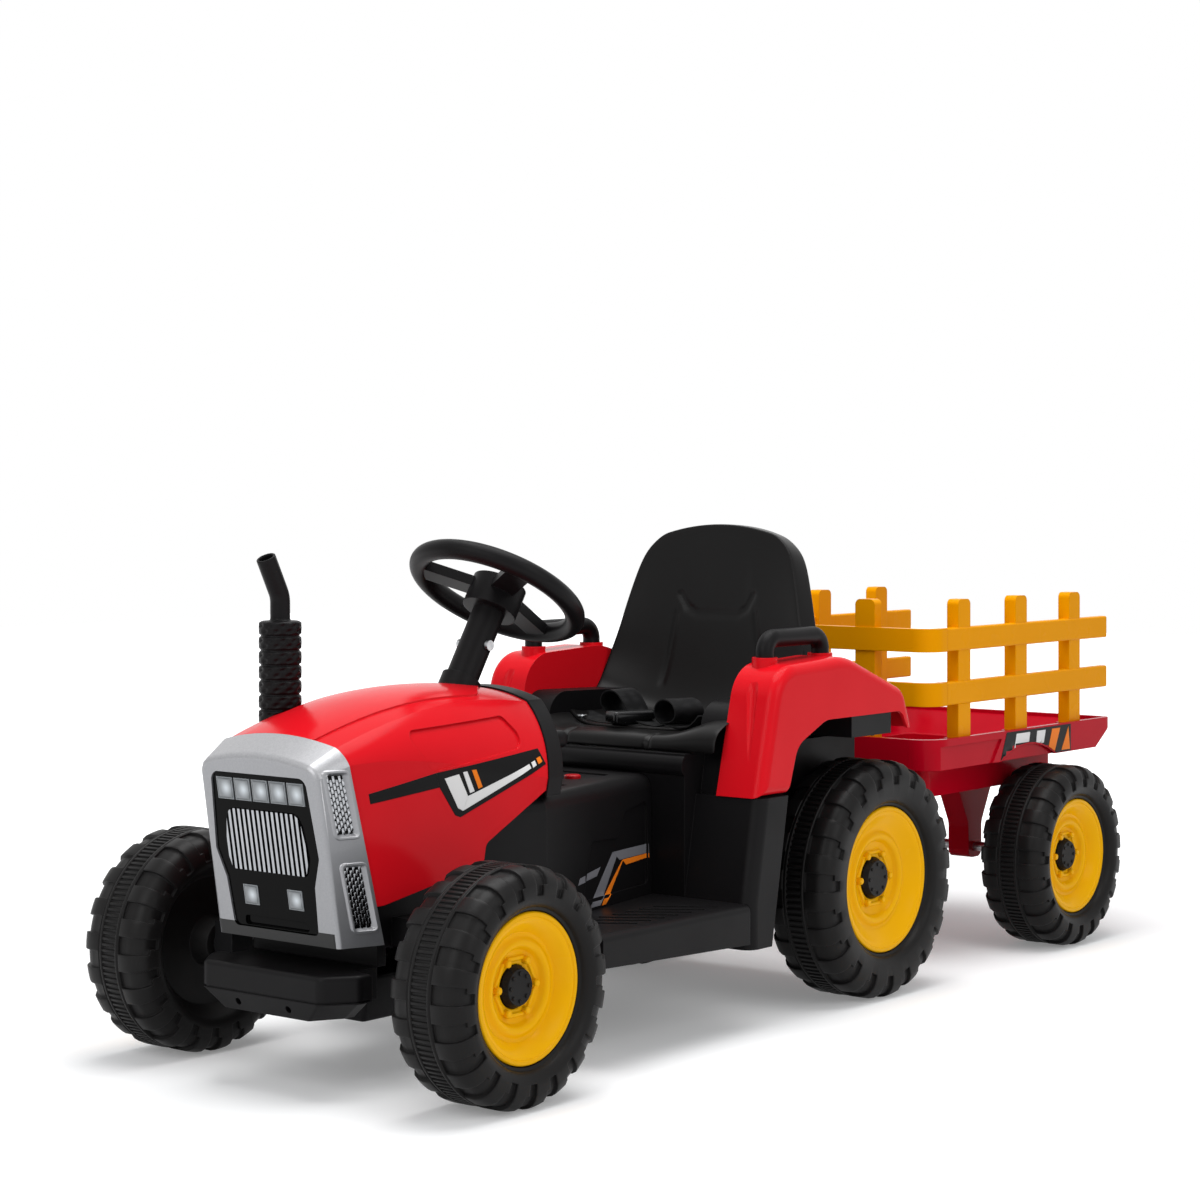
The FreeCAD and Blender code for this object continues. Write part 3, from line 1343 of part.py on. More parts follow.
def trailer_tub():
    corner = 34.0
    tray = plan_plate(tub_plan(0.0), tray_bottom, tub_rim, (corner, corner, 12, 12))
    well = plan_plate(well_plan(0.0), well_bottom, tray_bottom + 1, (14,))
    tail = side_plate([(tub_rear_x - 1, tray_bottom - 1), (tub_rear_x + tail_run, tray_bottom - 1),
                       (tub_rear_x - 1, tub_rim - 8)],
                      -2 * tub_half_width, 2 * tub_half_width)
    side_relief = side_plate([(tub_front_x + 1, tray_bottom - 1), (tub_front_x + 1, tub_rim - relief_drop),
                              (side_step_x - relief_drop, tub_rim - relief_drop),
                              (side_step_x + 14, tray_bottom - 1)],
                             tub_half_width - relief_depth, tub_half_width + 1)
    wheel_recess = rod(V(recess_x, tub_half_width - recess_depth, recess_z),
                       V(recess_x, tub_half_width + 1, recess_z), 2 * recess_radius)
    tub = tray.fuse(well).cut([tail] + both_sides(side_relief) + both_sides(wheel_recess))
    hollow = plan_plate(tub_plan(wall + 3), tray_bottom + wall, tub_rim + 1,
                        (corner - wall, corner - wall, 9, 9))
    sink = plan_plate(well_plan(wall), well_bottom + wall, tub_rim + 1, (10,))
    tail_hollow = side_plate([(tub_rear_x, tray_bottom), (tub_rear_x + tail_run + 9, tray_bottom),
                              (tub_rear_x, tub_rim)],
                             -2 * tub_half_width, 2 * tub_half_width)
    tub = tub.cut([hollow.cut(tail_hollow), sink])
    legs = []
    for y0 in (26.0, -56.0):
        axle_x = -trailer_axle_back
        leg = side_plate([(axle_x + 46, well_bottom + 1), (axle_x - 46, well_bottom + 1),
                          (axle_x - 16, front_axle_z + 30), (axle_x - 16, front_axle_z - 14),
                          (axle_x + 16, front_axle_z - 14), (axle_x + 16, front_axle_z + 30)],
                         y0, y0 + 30, (0, 0, 20, 10, 10, 20))
        legs.append(leg)
    sockets = [block(x0, x1, y0, y1, tub_rim - 16, tub_rim + 1) for x0, x1, y0, y1 in post_boxes(fit_gap)]
    shoes = [block(x0, x1, y0, y1, tray_bottom + wall - 1, tub_rim - 2) for x0, x1, y0, y1 in post_boxes(3.0)]
    inside = plan_plate(tub_plan(2.0), tray_bottom, tub_rim - 2, (corner - 2, corner - 2, 9, 9))
    tub = tub.fuse(legs + [shoe.common(inside) for shoe in shoes])
    axle_bore = rod(V(-trailer_axle_back, -100, front_axle_z), V(-trailer_axle_back, 100, front_axle_z),
                    axle_diameter + 2 * shaft_clearance)
    return tub.cut(sockets + [axle_bore])


fence_front_x = tub_front_x - 8
side_post_x = spread(side_post_count, fence_front_x - 77, tub_rear_x + 83)
front_post_y = (-62.0, 62.0)


def side_posts(grow):
    outer = fence_half - post_set_back
    return [(x - post_width / 2 - grow, x + post_width / 2 + grow, outer - post_deep - grow, outer + grow)
            for x in side_post_x]


def front_posts(grow):
    front = fence_front_x - post_set_back
    return [(front - post_deep - grow, front + grow, y - post_width / 2 - grow, y + post_width / 2 + grow)
            for y in front_post_y]


def post_boxes(grow):
    left = side_posts(grow)
    right = [(x0, x1, -y1, -y0) for x0, x1, y0, y1 in left]
    return left + right + front_posts(grow)


post_foot = tub_rim - 16 + fit_gap


def side_fence():
    posts = []
    for x0, x1, y0, y1 in side_posts(0.0):
        post = block(x0, x1, y0, y1, post_foot, post_top)
        posts.append(round_edges(post, 7.0, lambda edge: edge.BoundBox.ZMin > post_top - 1
                                 and edge.BoundBox.XLength < 1))
    rails = []
    for z in (lower_rail_z, upper_rail_z):
        rail = block(tub_rear_x, fence_front_x - 36, fence_half - rail_deep, fence_half, z, z + rail_tall)
        rails.append(round_edges(rail, 2.5, lambda edge: edge.BoundBox.XLength > 100))
    return posts[0].fuse(posts[1:] + rails)


def front_fence():
    posts = []
    for x0, x1, y0, y1 in front_posts(0.0):
        post = block(x0, x1, y0, y1, post_foot, post_top)
        posts.append(round_edges(post, 7.0, lambda edge: edge.BoundBox.ZMin > post_top - 1
                                 and edge.BoundBox.YLength < 1))
    rails = []
    end = fence_front_x - 36 + fit_gap
    for z in (lower_rail_z, upper_rail_z):
        outer = plan_plate([(end, -fence_half), (fence_front_x, -fence_half), (fence_front_x, fence_half),
                            (end, fence_half)], z, z + rail_tall, (0, 26, 26, 0))
        inner = plan_plate([(end - 1, rail_deep - fence_half), (fence_front_x - rail_deep,
                                                                rail_deep - fence_half),
                            (fence_front_x - rail_deep, fence_half - rail_deep), (end - 1,
                                                                                  fence_half - rail_deep)],
                           z - 1, z + rail_tall + 1, (0, 15, 15, 0))
        rails.append(outer.cut(inner))
    return posts[0].fuse(posts[1:] + rails)


pieces["trailer_tub"] = trailer_tub()
pieces["fence_left"] = side_fence()
pieces["fence_right"] = mirrored(pieces["fence_left"])
pieces["fence_front"] = front_fence()
pieces["trailer_axle"] = rod(V(-trailer_axle_back, -trailer_wheel_out - axle_reach, front_axle_z),
                             V(-trailer_axle_back, trailer_wheel_out + axle_reach, front_axle_z),
                             axle_diameter)


os.makedirs("parts", exist_ok=True)
for name, shape in pieces.items():
    shape.translate(V(-middle_x, 0, 0))
    shape.exportStep("parts/" + name + ".step")
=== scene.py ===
import bpy
import bmesh
import math
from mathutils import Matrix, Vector


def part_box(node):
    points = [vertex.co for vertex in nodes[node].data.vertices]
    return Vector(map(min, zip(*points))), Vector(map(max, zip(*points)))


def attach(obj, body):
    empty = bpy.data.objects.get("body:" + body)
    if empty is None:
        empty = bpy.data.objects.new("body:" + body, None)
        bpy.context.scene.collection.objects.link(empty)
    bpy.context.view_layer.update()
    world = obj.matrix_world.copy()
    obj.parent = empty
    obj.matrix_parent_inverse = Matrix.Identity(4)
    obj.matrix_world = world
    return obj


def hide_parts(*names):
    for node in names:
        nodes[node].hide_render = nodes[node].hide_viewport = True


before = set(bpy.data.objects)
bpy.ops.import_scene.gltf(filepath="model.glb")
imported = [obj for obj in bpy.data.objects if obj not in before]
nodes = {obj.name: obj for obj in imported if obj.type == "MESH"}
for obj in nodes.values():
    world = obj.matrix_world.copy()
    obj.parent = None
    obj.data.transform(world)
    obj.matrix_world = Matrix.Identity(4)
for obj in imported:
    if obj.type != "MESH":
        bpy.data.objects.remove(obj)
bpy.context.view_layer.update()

bpy.ops.object.select_all(action="DESELECT")

# Floor pan, front frame and bumper: one-piece black polypropylene mouldings that carry
# everything else. The surface is spark-eroded, so it has a fine grain and a soft satin sheen.


def linear(colour):
    """Linear colour from an sRGB hex value."""
    parts = [int(colour[i:i + 2], 16) / 255 for i in (1, 3, 5)]
    return [p / 12.92 if p <= 0.04045 else ((p + 0.055) / 1.055) ** 2.4 for p in parts] + [1.0]


def add(tree, kind, inputs, **settings):
    """New node with its settings; an input is a value or another node's output."""
    made = tree.nodes.new(kind)
    for name, value in settings.items():
        setattr(made, name, value)
    for name, value in inputs.items():
        if isinstance(value, bpy.types.NodeSocket):
            tree.links.new(value, made.inputs[name])
        else:
            made.inputs[name].default_value = value
    return made


def new_tree(name):
    """New material with an empty node tree."""
    material = bpy.data.materials.new(name)
    material.use_nodes = True
    material.node_tree.nodes.clear()
    return material, material.node_tree


def moulded(name, colour, deep, roughness, grain_mm, grain_depth_mm, gloss=0.12):
    """Moulded plastic: the colour clouds to a deeper one, grain gives the sheen, edges are eased."""
    cloud_mm, eased_edge_mm = 70, 1.1
    material, tree = new_tree(name)
    place = add(tree, "ShaderNodeTexCoord", {}).outputs["Object"]
    cloud = add(tree, "ShaderNodeTexNoise", {"Vector": place, "Scale": 1000 / cloud_mm, "Detail": 3.0})
    grain = add(tree, "ShaderNodeTexNoise", {"Vector": place, "Scale": 1000 / grain_mm, "Detail": 2.0})
    tone = add(tree, "ShaderNodeMix", {"Factor": cloud.outputs["Fac"], "A": linear(colour),
                                       "B": linear(deep)}, data_type="RGBA")
    sheen = add(tree, "ShaderNodeMapRange", {"Value": cloud.outputs["Fac"], "From Min": 0.3, "From Max": 0.7,
                                             "To Min": 0.85 * roughness, "To Max": 1.15 * roughness})
    edge = add(tree, "ShaderNodeBevel", {"Radius": eased_edge_mm / 1000}, samples=4)
    relief = add(tree, "ShaderNodeBump", {"Height": grain.outputs["Fac"], "Strength": 0.6,
                                          "Distance": grain_depth_mm / 1000,
                                          "Normal": edge.outputs["Normal"]})
    shader = add(tree, "ShaderNodeBsdfPrincipled", {
        "Base Color": tone.outputs["Result"], "Roughness": sheen.outputs["Result"],
        "Normal": relief.outputs["Normal"], "Specular IOR Level": gloss})
    add(tree, "ShaderNodeOutputMaterial", {"Surface": shader.outputs["BSDF"]})
    return material


def dress(material, *names):
    """CAD nodes that stay as they are get their finish."""
    for name in names:
        for slot in nodes[name].material_slots:
            slot.material = material


# Grained polypropylene: near black, broad soft highlights, a grain drawn at 1.4 mm so that it shows
satin_black = moulded("grained_black_polypropylene", "#131213", "#0E0D0E", 0.4, 1.4, 0.05, 0.09)
dress(satin_black, "floor_pan", "front_subframe", "front_bumper")

# Axles, knuckles and tie rod: steel rod and plate, cold drawn and stamped, then plated or coated.
# The motors and their gearboxes hang on the rear axle in grey cases, with the battery above.

# Zinc plating: pale grey metal with a faint 5 mm spangle and 2 mm wipe marks in its sheen
zinc, tree = new_tree("zinc_plated_steel")
place = add(tree, "ShaderNodeTexCoord", {}).outputs["Object"]
spangle = add(tree, "ShaderNodeTexVoronoi", {"Vector": place, "Scale": 1000 / 5})
wipe = add(tree, "ShaderNodeTexNoise", {"Vector": place, "Scale": 1000 / 2.0, "Detail": 4.0})
tone = add(tree, "ShaderNodeMix", {"Factor": spangle.outputs["Distance"], "A": linear("#C9CBCC"),
                                   "B": linear("#A9ACAF")}, data_type="RGBA")
sheen = add(tree, "ShaderNodeMapRange", {"Value": wipe.outputs["Fac"], "To Min": 0.2, "To Max": 0.42})
shader = add(tree, "ShaderNodeBsdfPrincipled", {"Base Color": tone.outputs["Result"], "Metallic": 1.0,
                                                "Roughness": sheen.outputs["Result"]})
add(tree, "ShaderNodeOutputMaterial", {"Surface": shader.outputs["BSDF"]})
dress(zinc, "rear_axle", "trailer_axle", "tie_rod", "steering_shaft", "steering_bolt")
# Dip-coated steel: dull black, a soft sheen along the edges of the stampings
coated_steel = moulded("black_coated_steel", "#1B1B1C", "#131314", 0.45, 3.0, 0.03, 0.2)
dress(coated_steel, "knuckle_left", "knuckle_right")

# Nylon gear case: mid grey, matt
grey_nylon = moulded("grey_nylon", "#343537", "#2C2D2F", 0.5, 1.6, 0.04)
dress(grey_nylon, "gearbox_left", "gearbox_right", "battery")

# Wheels: blow-moulded black bodies with a ribbed band round the middle and shoulder lugs on
# both sides, each with a yellow disc and a small black cap pressed on.


def alone(piece):
    """Only this piece is selected, and it is the active one."""
    bpy.ops.object.select_all(action="DESELECT")
    bpy.context.view_layer.objects.active = piece
    piece.select_set(True)


def edit(piece):
    """This piece alone in edit mode, and its mesh there."""
    alone(piece)
    bpy.ops.object.mode_set(mode="EDIT")
    return bmesh.from_edit_mesh(piece.data)


def start(primitive, **settings):
    """New primitive at its size and place, the only piece selected, with its place in its mesh."""
    bpy.ops.object.select_all(action="DESELECT")
    primitive(**settings)
    bpy.ops.object.transform_apply()
    return bpy.context.object


def copy_of(pattern, name):
    """Copy of a piece with its own mesh."""
    piece = pattern.copy()
    piece.data = pattern.data.copy()
    piece.name = name
    bpy.context.collection.objects.link(piece)
    return piece


def joined(name, pieces):
    """The pieces as one, in place of the first."""
    bpy.ops.object.select_all(action="DESELECT")
    for piece in pieces:
        piece.select_set(True)
    bpy.context.view_layer.objects.active = pieces[0]
    bpy.ops.object.join()
    pieces[0].name = name
    return pieces[0]


def pick_faces(piece, wanted):
    """In edit mode: only the faces whose middle is wanted are selected."""
    mesh = bmesh.from_edit_mesh(piece.data)
    for face in mesh.faces:
        face.select_set(False)
    for face in mesh.faces:
        if wanted(face.calc_center_median()):
            face.select_set(True)
    mesh.select_flush_mode()
    bmesh.update_edit_mesh(piece.data)


def turned(name, profile, steps):
    """Ring turned about Y: a circle extruded from one (radius, place) of its profile to the next."""
    piece = start(bpy.ops.mesh.primitive_circle_add, vertices=steps, radius=profile[0][0],
                  location=(0, profile[0][1], 0), rotation=(math.pi / 2, 0, 0))
    piece.name = name
    bpy.ops.object.mode_set(mode="EDIT")
    bpy.ops.mesh.select_mode(type="EDGE")
    bpy.ops.mesh.select_all(action="SELECT")
    for (radius, out), (next_radius, next_out) in zip(profile, profile[1:]):
        bpy.ops.mesh.extrude_region()
        if next_out != out:
            bpy.ops.transform.translate(value=(0, next_out - out, 0))
        if next_radius != radius:
            scale = next_radius / radius
            bpy.ops.transform.resize(value=(scale, 1, scale), center_override=(0, next_out, 0))
    bpy.ops.mesh.select_all(action="SELECT")
    bpy.ops.mesh.remove_doubles(threshold=1e-6)
    bpy.ops.mesh.normals_make_consistent(inside=False)
    bpy.ops.object.mode_set(mode="OBJECT")
    return piece


def soften(piece, width_mm, segments=2, angle_deg=32, smooth_deg=40):
    """Small rounded edges, as a mould leaves them, and smooth shading."""
    alone(piece)
    if width_mm:
        bevel = piece.modifiers.new("edge", "BEVEL")
        bevel.width = width_mm / 1000
        bevel.segments = segments
        bevel.limit_method = "ANGLE"
        bevel.angle_limit = math.radians(angle_deg)
        bpy.ops.object.modifier_apply(modifier="edge")
    bpy.ops.object.shade_smooth_by_angle(angle=math.radians(smooth_deg))


def paint(piece, material):
    """One finish all over a piece."""
    piece.data.materials.clear()
    piece.data.materials.append(material)


def tyre(name, radius, well):
    """Tread of 120 ribs in a sunk band, 20 lugs on each shoulder, a raised bead each side of the band;
    the well takes the disc, and a boss with the axle's bore stands out behind."""
    half, boss, bore, steps, lugs = 0.045, 0.022, 0.0075, 240, 20
    band, band_drop, rib_height = 0.0095, 0.0022, 0.0018
    shoulder, lug_reach, groove_depth = 0.0148, 0.0262, 0.0033
    seat, seat_back = well + 0.0004, 0.0035
    side = [(radius - band_drop, 0.0), (radius - band_drop, band), (radius, 0.0098), (radius, 0.0125),
            (radius - 0.0012, 0.0131), (radius - 0.0012, 0.0142), (radius, shoulder), (radius, 0.026),
            (radius - 0.0015, 0.0325), (radius - 0.005, 0.0385), (radius - 0.0105, 0.0425),
            (radius - 0.016, 0.0445), (radius - 0.0235, half), (radius - 0.0265, half),
            (well + 0.012, 0.0437), (well + 0.008, 0.042), (well + 0.005, 0.0385),
            (well + 0.0042, 0.0352), (well + 0.0014, 0.0345), (seat, 0.032), (seat, 0.006)]
    far = [(r, -y) for r, y in side[1:-4]] + [(well - 0.006, -0.024), (boss + 0.004, -0.024), (boss, -half),
                                              (bore, -half), (bore, seat_back), (seat, seat_back)]
    piece = turned(name, far[::-1] + side + [(seat, seat_back)], steps)
    edit(piece)
    bpy.ops.mesh.select_mode(type="FACE")

    def around(p):
        return (math.degrees(math.atan2(p.z, p.x)) + 0.001) % 360

    pick_faces(piece, lambda p: abs(p.y) < band and math.hypot(p.x, p.z) > radius - 0.01
               and int(around(p) * steps / 360) % 2)
    bpy.ops.mesh.extrude_region_shrink_fatten(TRANSFORM_OT_shrink_fatten={"value": rib_height})
    pitch = 360 / lugs

    def in_groove(p):
        turn = around(p) + (pitch / 2 if p.y < 0 else 0)
        reach = math.hypot(p.x, p.z)
        if abs(p.y) < shoulder or reach < radius - lug_reach:
            return False
        width = 0.46 if reach > radius - 0.014 else 0.36
        return turn % pitch < width * pitch

    pick_faces(piece, in_groove)
    bpy.ops.mesh.extrude_region_shrink_fatten(TRANSFORM_OT_shrink_fatten={"value": -groove_depth})
    bpy.ops.object.mode_set(mode="OBJECT")
    soften(piece, 0.7, 2, 40)
    return piece


def rim(name, radius, cap):
    """Yellow disc: rolled lip, sloping dish, a rounded ridge and a flat six-bolt plate."""
    lip, face, back, bore = 0.035, 0.015, 0.0045, 0.0065
    ridge = 0.62 * radius
    profile = [(radius - 0.003, back), (radius, back), (radius, lip - 0.0012), (radius - 0.0012, lip),
               (radius - 0.0045, lip), (radius - 0.0056, lip - 0.0014), (radius - 0.0066, lip - 0.0016),
               (radius - 0.0085, lip - 0.002), (radius - 0.011, lip - 0.004), (radius - 0.015, lip - 0.0065),
               (ridge + 0.007, face + 0.0068), (ridge + 0.004, face + 0.0062), (ridge + 0.002, face + 0.0072),
               (ridge, face + 0.0092), (ridge - 0.003, face + 0.0098), (ridge - 0.006, face + 0.0088),
               (ridge - 0.0078, face + 0.0062), (ridge - 0.009, face + 0.003), (ridge - 0.0105, face + 0.002),
               (cap + 0.002, face + 0.002), (cap + 0.0008, face + 0.0012), (cap + 0.0006, face - 0.004),
               (bore, face - 0.004), (bore, back), (radius - 0.003, back)]
    disc = turned(name, profile, 120)
    soften(disc, 0.0)
    details = []
    bolt_ring, rib_ring = cap + 0.0068, cap + 0.0062
    for i in range(6):
        angle = math.radians(60 * i)
        bolt = start(bpy.ops.mesh.primitive_cylinder_add, vertices=24, radius=0.0037, depth=0.0075,
                     rotation=(math.pi / 2, 0, 0),
                     location=(bolt_ring * math.cos(angle), face + 0.0035, bolt_ring * math.sin(angle)))
        bpy.ops.object.mode_set(mode="EDIT")
        bpy.ops.mesh.select_mode(type="FACE")
        pick_faces(bolt, lambda p: p.y > face + 0.007)
        bpy.ops.mesh.inset(thickness=0.0007)
        bpy.ops.mesh.extrude_region_move(TRANSFORM_OT_translate={"value": (0, 0.0006, 0)})
        bpy.ops.mesh.inset(thickness=0.001)
        bpy.ops.object.mode_set(mode="OBJECT")
        soften(bolt, 0.5, 2, 30)
        details.append(bolt)
    for i in range(6):
        angle = math.radians(60 * i + 30)
        rib = start(bpy.ops.mesh.primitive_cube_add, size=1, location=(rib_ring, face + 0.0022, 0),
                    scale=(0.0055, 0.0036, 0.95 * rib_ring))
        bpy.ops.object.mode_set(mode="EDIT")
        bpy.ops.mesh.select_mode(type="FACE")
        pick_faces(rib, lambda p: p.y > face + 0.0038)
        bpy.ops.transform.resize(value=(0.6, 1, 0.92))
        bpy.ops.mesh.select_all(action="SELECT")
        bpy.ops.transform.rotate(value=angle, orient_axis="Y", center_override=(0, 0, 0))
        bpy.ops.object.mode_set(mode="OBJECT")
        soften(rib, 0.6, 2, 30)
        details.append(rib)
    return joined(name, [disc] + details)


def fitted(pattern, name, centre, mirrored):
    """Copy of a wheel piece, moved to its axle, turned round on the right side."""
    piece = copy_of(pattern, name)
    alone(piece)
    if mirrored:
        piece.rotation_euler = (0, 0, math.pi)
    piece.location = centre
    bpy.ops.object.transform_apply()
    return piece


# Blow-moulded polyethylene: charcoal black with a dull waxy sheen, slightly uneven wall
wheel_black = moulded("blow_moulded_black_polyethylene", "#161515", "#111010", 0.42, 2.2, 0.09, 0.13)
# Gloss ABS in warm yellow: clear highlights, a faint flow mark in the moulding
gloss_yellow = moulded("gloss_yellow_abs", "#F2B405", "#EAAB03", 0.24, 9.0, 0.05, 0.06)
small_radius, small_well, small_cap = 0.113, 0.071, 0.020
large_radius, large_well, large_cap = 0.134, 0.082, 0.023
small_tyre = tyre("small_tyre", small_radius, small_well)
small_rim = rim("small_rim", small_well, small_cap)
large_tyre = tyre("large_tyre", large_radius, large_well)
large_rim = rim("large_rim", large_well, large_cap)
for corner, x, y, z, tyre_shape, rim_shape in (
        ("front", 0.578, 0.2105, small_radius, small_tyre, small_rim),
        ("rear", -0.086, 0.171, large_radius, large_tyre, large_rim),
        ("trailer", -0.527, 0.169, small_radius, small_tyre, small_rim)):
    for hand, side in (("left", 1), ("right", -1)):
        wheel = corner + "_" + hand
        for pattern, kind, node, finish, slot in (
                (tyre_shape, "wheel_body_", "tyre_", wheel_black, "wheel_black"),
                (rim_shape, "wheel_disc_", "rim_", gloss_yellow, "yellow")):
            shape = fitted(pattern, kind + wheel, (x, side * y, z), side < 0)
            paint(shape, finish)
            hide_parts(node + wheel)
            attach(shape, "wheel_" + wheel)
        dress(wheel_black, "hub_cap_" + wheel)
for pattern in (small_tyre, small_rim, large_tyre, large_rim):
    bpy.data.objects.remove(pattern)

# Belly tray: black polypropylene moulding under the front frame, from the bumper back to the floor pan.
# Its sides lean in towards the ground and its underside is a shallow panel.
tray_x, tray_z, tray_height = 0.517, 0.0845, 0.047
tray = start(bpy.ops.mesh.primitive_cube_add, size=1, location=(tray_x, 0, tray_z),
             scale=(0.188, 0.14, tray_height))
tray.name = "belly_tray"
edit(tray)
bpy.ops.mesh.select_mode(type="FACE")
pick_faces(tray, lambda spot: spot.z < tray_z - 0.4 * tray_height)
bpy.ops.transform.resize(value=(0.9, 0.8, 1), center_override=(tray_x, 0, tray_z - tray_height / 2))
bpy.ops.mesh.inset(thickness=0.012)
bpy.ops.transform.translate(value=(0, 0, 0.003))
bpy.ops.object.mode_set(mode="OBJECT")
soften(tray, 4.0, 3)
paint(tray, satin_black)
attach(tray, "chassis")

# Seat base and mudguards: the black base stands on the floor pan; the mudguards are gloss red
# shells screwed to its sides, each with a black tubular grab handle set into two collars.
dress(satin_black, "seat_base", "grab_handle_left", "grab_handle_right", "hitch_bracket", "drawbar")
# Gloss ABS in signal red: mirror-like moulding with a soft orange peel
gloss_red = moulded("gloss_red_abs", "#D4141F", "#CA101B", 0.20, 7.0, 0.03, 0.07)
dress(gloss_red, "fender_left", "fender_right")

# Centre console: black moulding between hood and seat with the gear lever, the start button and
# the pedal on the right footboard. Printed vinyl bands are stuck to its flanks.
dress(satin_black, "center_console", "gear_lever", "accelerator_pedal")
# Button ABS: a duller red with a soft highlight
signal_red = moulded("push_button_red_abs", "#BE101A", "#AE0C16", 0.28, 4.0, 0.03, 0.2)
dress(signal_red, "start_button")


def apply(piece, kind, **settings):
    """One modifier with its settings, applied."""
    alone(piece)
    step = piece.modifiers.new("step", kind)
    for name, value in settings.items():
        setattr(step, name, value)
    bpy.ops.object.modifier_apply(modifier="step")


def sticker(name, node, corners_mm, side, lift_mm, film, hole_mm=None):
    """Film cut to a convex outline of (x, z), less a round hole, laid on a node's side wall from outside."""
    cell, margin, film_thickness, outside = 0.005, 1.02, 0.0002, side * 0.3
    xs = [x / 1000 for x, z in corners_mm]
    zs = [z / 1000 for x, z in corners_mm]
    wide, high = max(xs) - min(xs), max(zs) - min(zs)
    middle = ((max(xs) + min(xs)) / 2, (max(zs) + min(zs)) / 2)
    bpy.ops.object.select_all(action="DESELECT")
    bpy.ops.mesh.primitive_grid_add(
        x_subdivisions=max(2, int(wide / cell)), y_subdivisions=max(2, int(high / cell)), size=1,
        location=(middle[0], outside, middle[1]), rotation=(math.pi / 2, 0, 0))
    piece = bpy.context.object
    piece.name = name
    piece.scale = (wide * margin, high * margin, 1)
    bpy.ops.object.transform_apply()
    bpy.ops.object.mode_set(mode="EDIT")
    turn = sum(xs[i - 1] * zs[i] - xs[i] * zs[i - 1] for i in range(len(xs)))
    for i in range(len(xs)):
        run = Vector((xs[i] - xs[i - 1], 0, zs[i] - zs[i - 1]))
        out = Vector((run.z, 0, -run.x)).normalized() * (1 if turn > 0 else -1)
        bpy.ops.mesh.select_all(action="SELECT")
        bpy.ops.mesh.bisect(plane_co=(xs[i], outside, zs[i]), plane_no=out, clear_outer=True)
    bpy.ops.object.mode_set(mode="OBJECT")
    apply(piece, "SHRINKWRAP", target=nodes[node], wrap_method="PROJECT", use_project_y=True,
          use_negative_direction=side > 0, use_positive_direction=side < 0, offset=lift_mm / 1000)
    edit(piece)
    bpy.ops.mesh.select_all(action="SELECT")
    bpy.ops.mesh.normals_make_consistent(inside=False)
    mesh = bmesh.from_edit_mesh(piece.data)
    if sum(face.normal.y * side for face in mesh.faces) < 0:
        bpy.ops.mesh.flip_normals()
    bpy.ops.object.mode_set(mode="OBJECT")
    apply(piece, "SOLIDIFY", thickness=film_thickness, offset=-1.0)
    if hole_mm:
        x, z, radius = (value / 1000 for value in hole_mm)
        bpy.ops.object.select_all(action="DESELECT")
        bpy.ops.mesh.primitive_cylinder_add(vertices=120, radius=radius, depth=0.6, location=(x, 0, z),
                                            rotation=(math.pi / 2, 0, 0))
        cutter = bpy.context.object
        apply(piece, "BOOLEAN", object=cutter, operation="DIFFERENCE", solver="EXACT")
        bpy.data.objects.remove(cutter)
    soften(piece, 0.0, smooth_deg=50)
    paint(piece, film)
    return piece


def sticker_set(panel, node, body, films, hole_mm=None):
    """The same films on both flanks: the name, lift in mm, vinyl, slot and outline in mm of each."""
    for hand, side in (("left", 1), ("right", -1)):
        for name, lift_mm, film, slot, corners_mm in films:
            piece = sticker(panel + "_" + name + "_" + hand, node, corners_mm, side, lift_mm, film, hole_mm)
            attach(piece, body)


# Printed vinyl: flat colour under a clear satin film that shows a trace of the wall's unevenness
black_vinyl = moulded("black_vinyl_film", "#111011", "#0C0C0C", 0.34, 12.0, 0.02, 0.08)
white_vinyl = moulded("white_vinyl_film", "#E9E8E7", "#DEDDDC", 0.34, 12.0, 0.02, 0.08)
orange_vinyl = moulded("orange_vinyl_film", "#F58220", "#EC7A1A", 0.34, 12.0, 0.02, 0.08)
grey_vinyl = moulded("grey_vinyl_film", "#77777C", "#6C6C71", 0.34, 12.0, 0.02, 0.08)
# Grey and orange bands on both flanks of the console, with a slanted leg down to the footboard
sticker_set("console", "center_console", "chassis", (
    ("grey_band", 0.3, grey_vinyl, "silver_paint",
     [(258, 191.7), (180.5, 191.5), (180.5, 181.5), (243, 181.5)]),
    ("grey_leg", 0.3, grey_vinyl, "silver_paint",
     [(258, 191.7), (243, 181.5), (278, 150), (286, 140), (310, 140), (298, 152)]),
    ("orange_band", 0.5, orange_vinyl, "amber",
     [(237.4, 181), (180.5, 181.3), (180.5, 176.6), (229.2, 174.8)]),
    ("orange_leg", 0.5, orange_vinyl, "amber",
     [(237.4, 181), (229.2, 174.8), (266, 148), (274, 139.5), (286, 139.5), (280.8, 146)]),
    ("grey_bar", 0.3, grey_vinyl, "silver_paint",
     [(331, 173.5), (284.5, 179.5), (292.5, 170.7), (335.1, 166.5)])))

# Hood and nose: a gloss red shell in front of the cowl, closed by a silver nose frame that
# holds a gloss black mask with lamps, upright bars and two meshed vents a side.
dress(gloss_red, "hood")
silver, tree = new_tree("silver_lacquer_with_painted_shade")
place = add(tree, "ShaderNodeTexCoord", {}).outputs["Object"]
# Metal flake in the lacquer, drawn at 1.2 mm so that it shows as a faint sparkle
flake = add(tree, "ShaderNodeTexVoronoi", {"Vector": place, "Scale": 1000 / 1.2})
bright = add(tree, "ShaderNodeMix", {"Factor": flake.outputs["Color"], "A": linear("#AAAAAC"),
                                     "B": linear("#9A9A9D")}, data_type="RGBA")
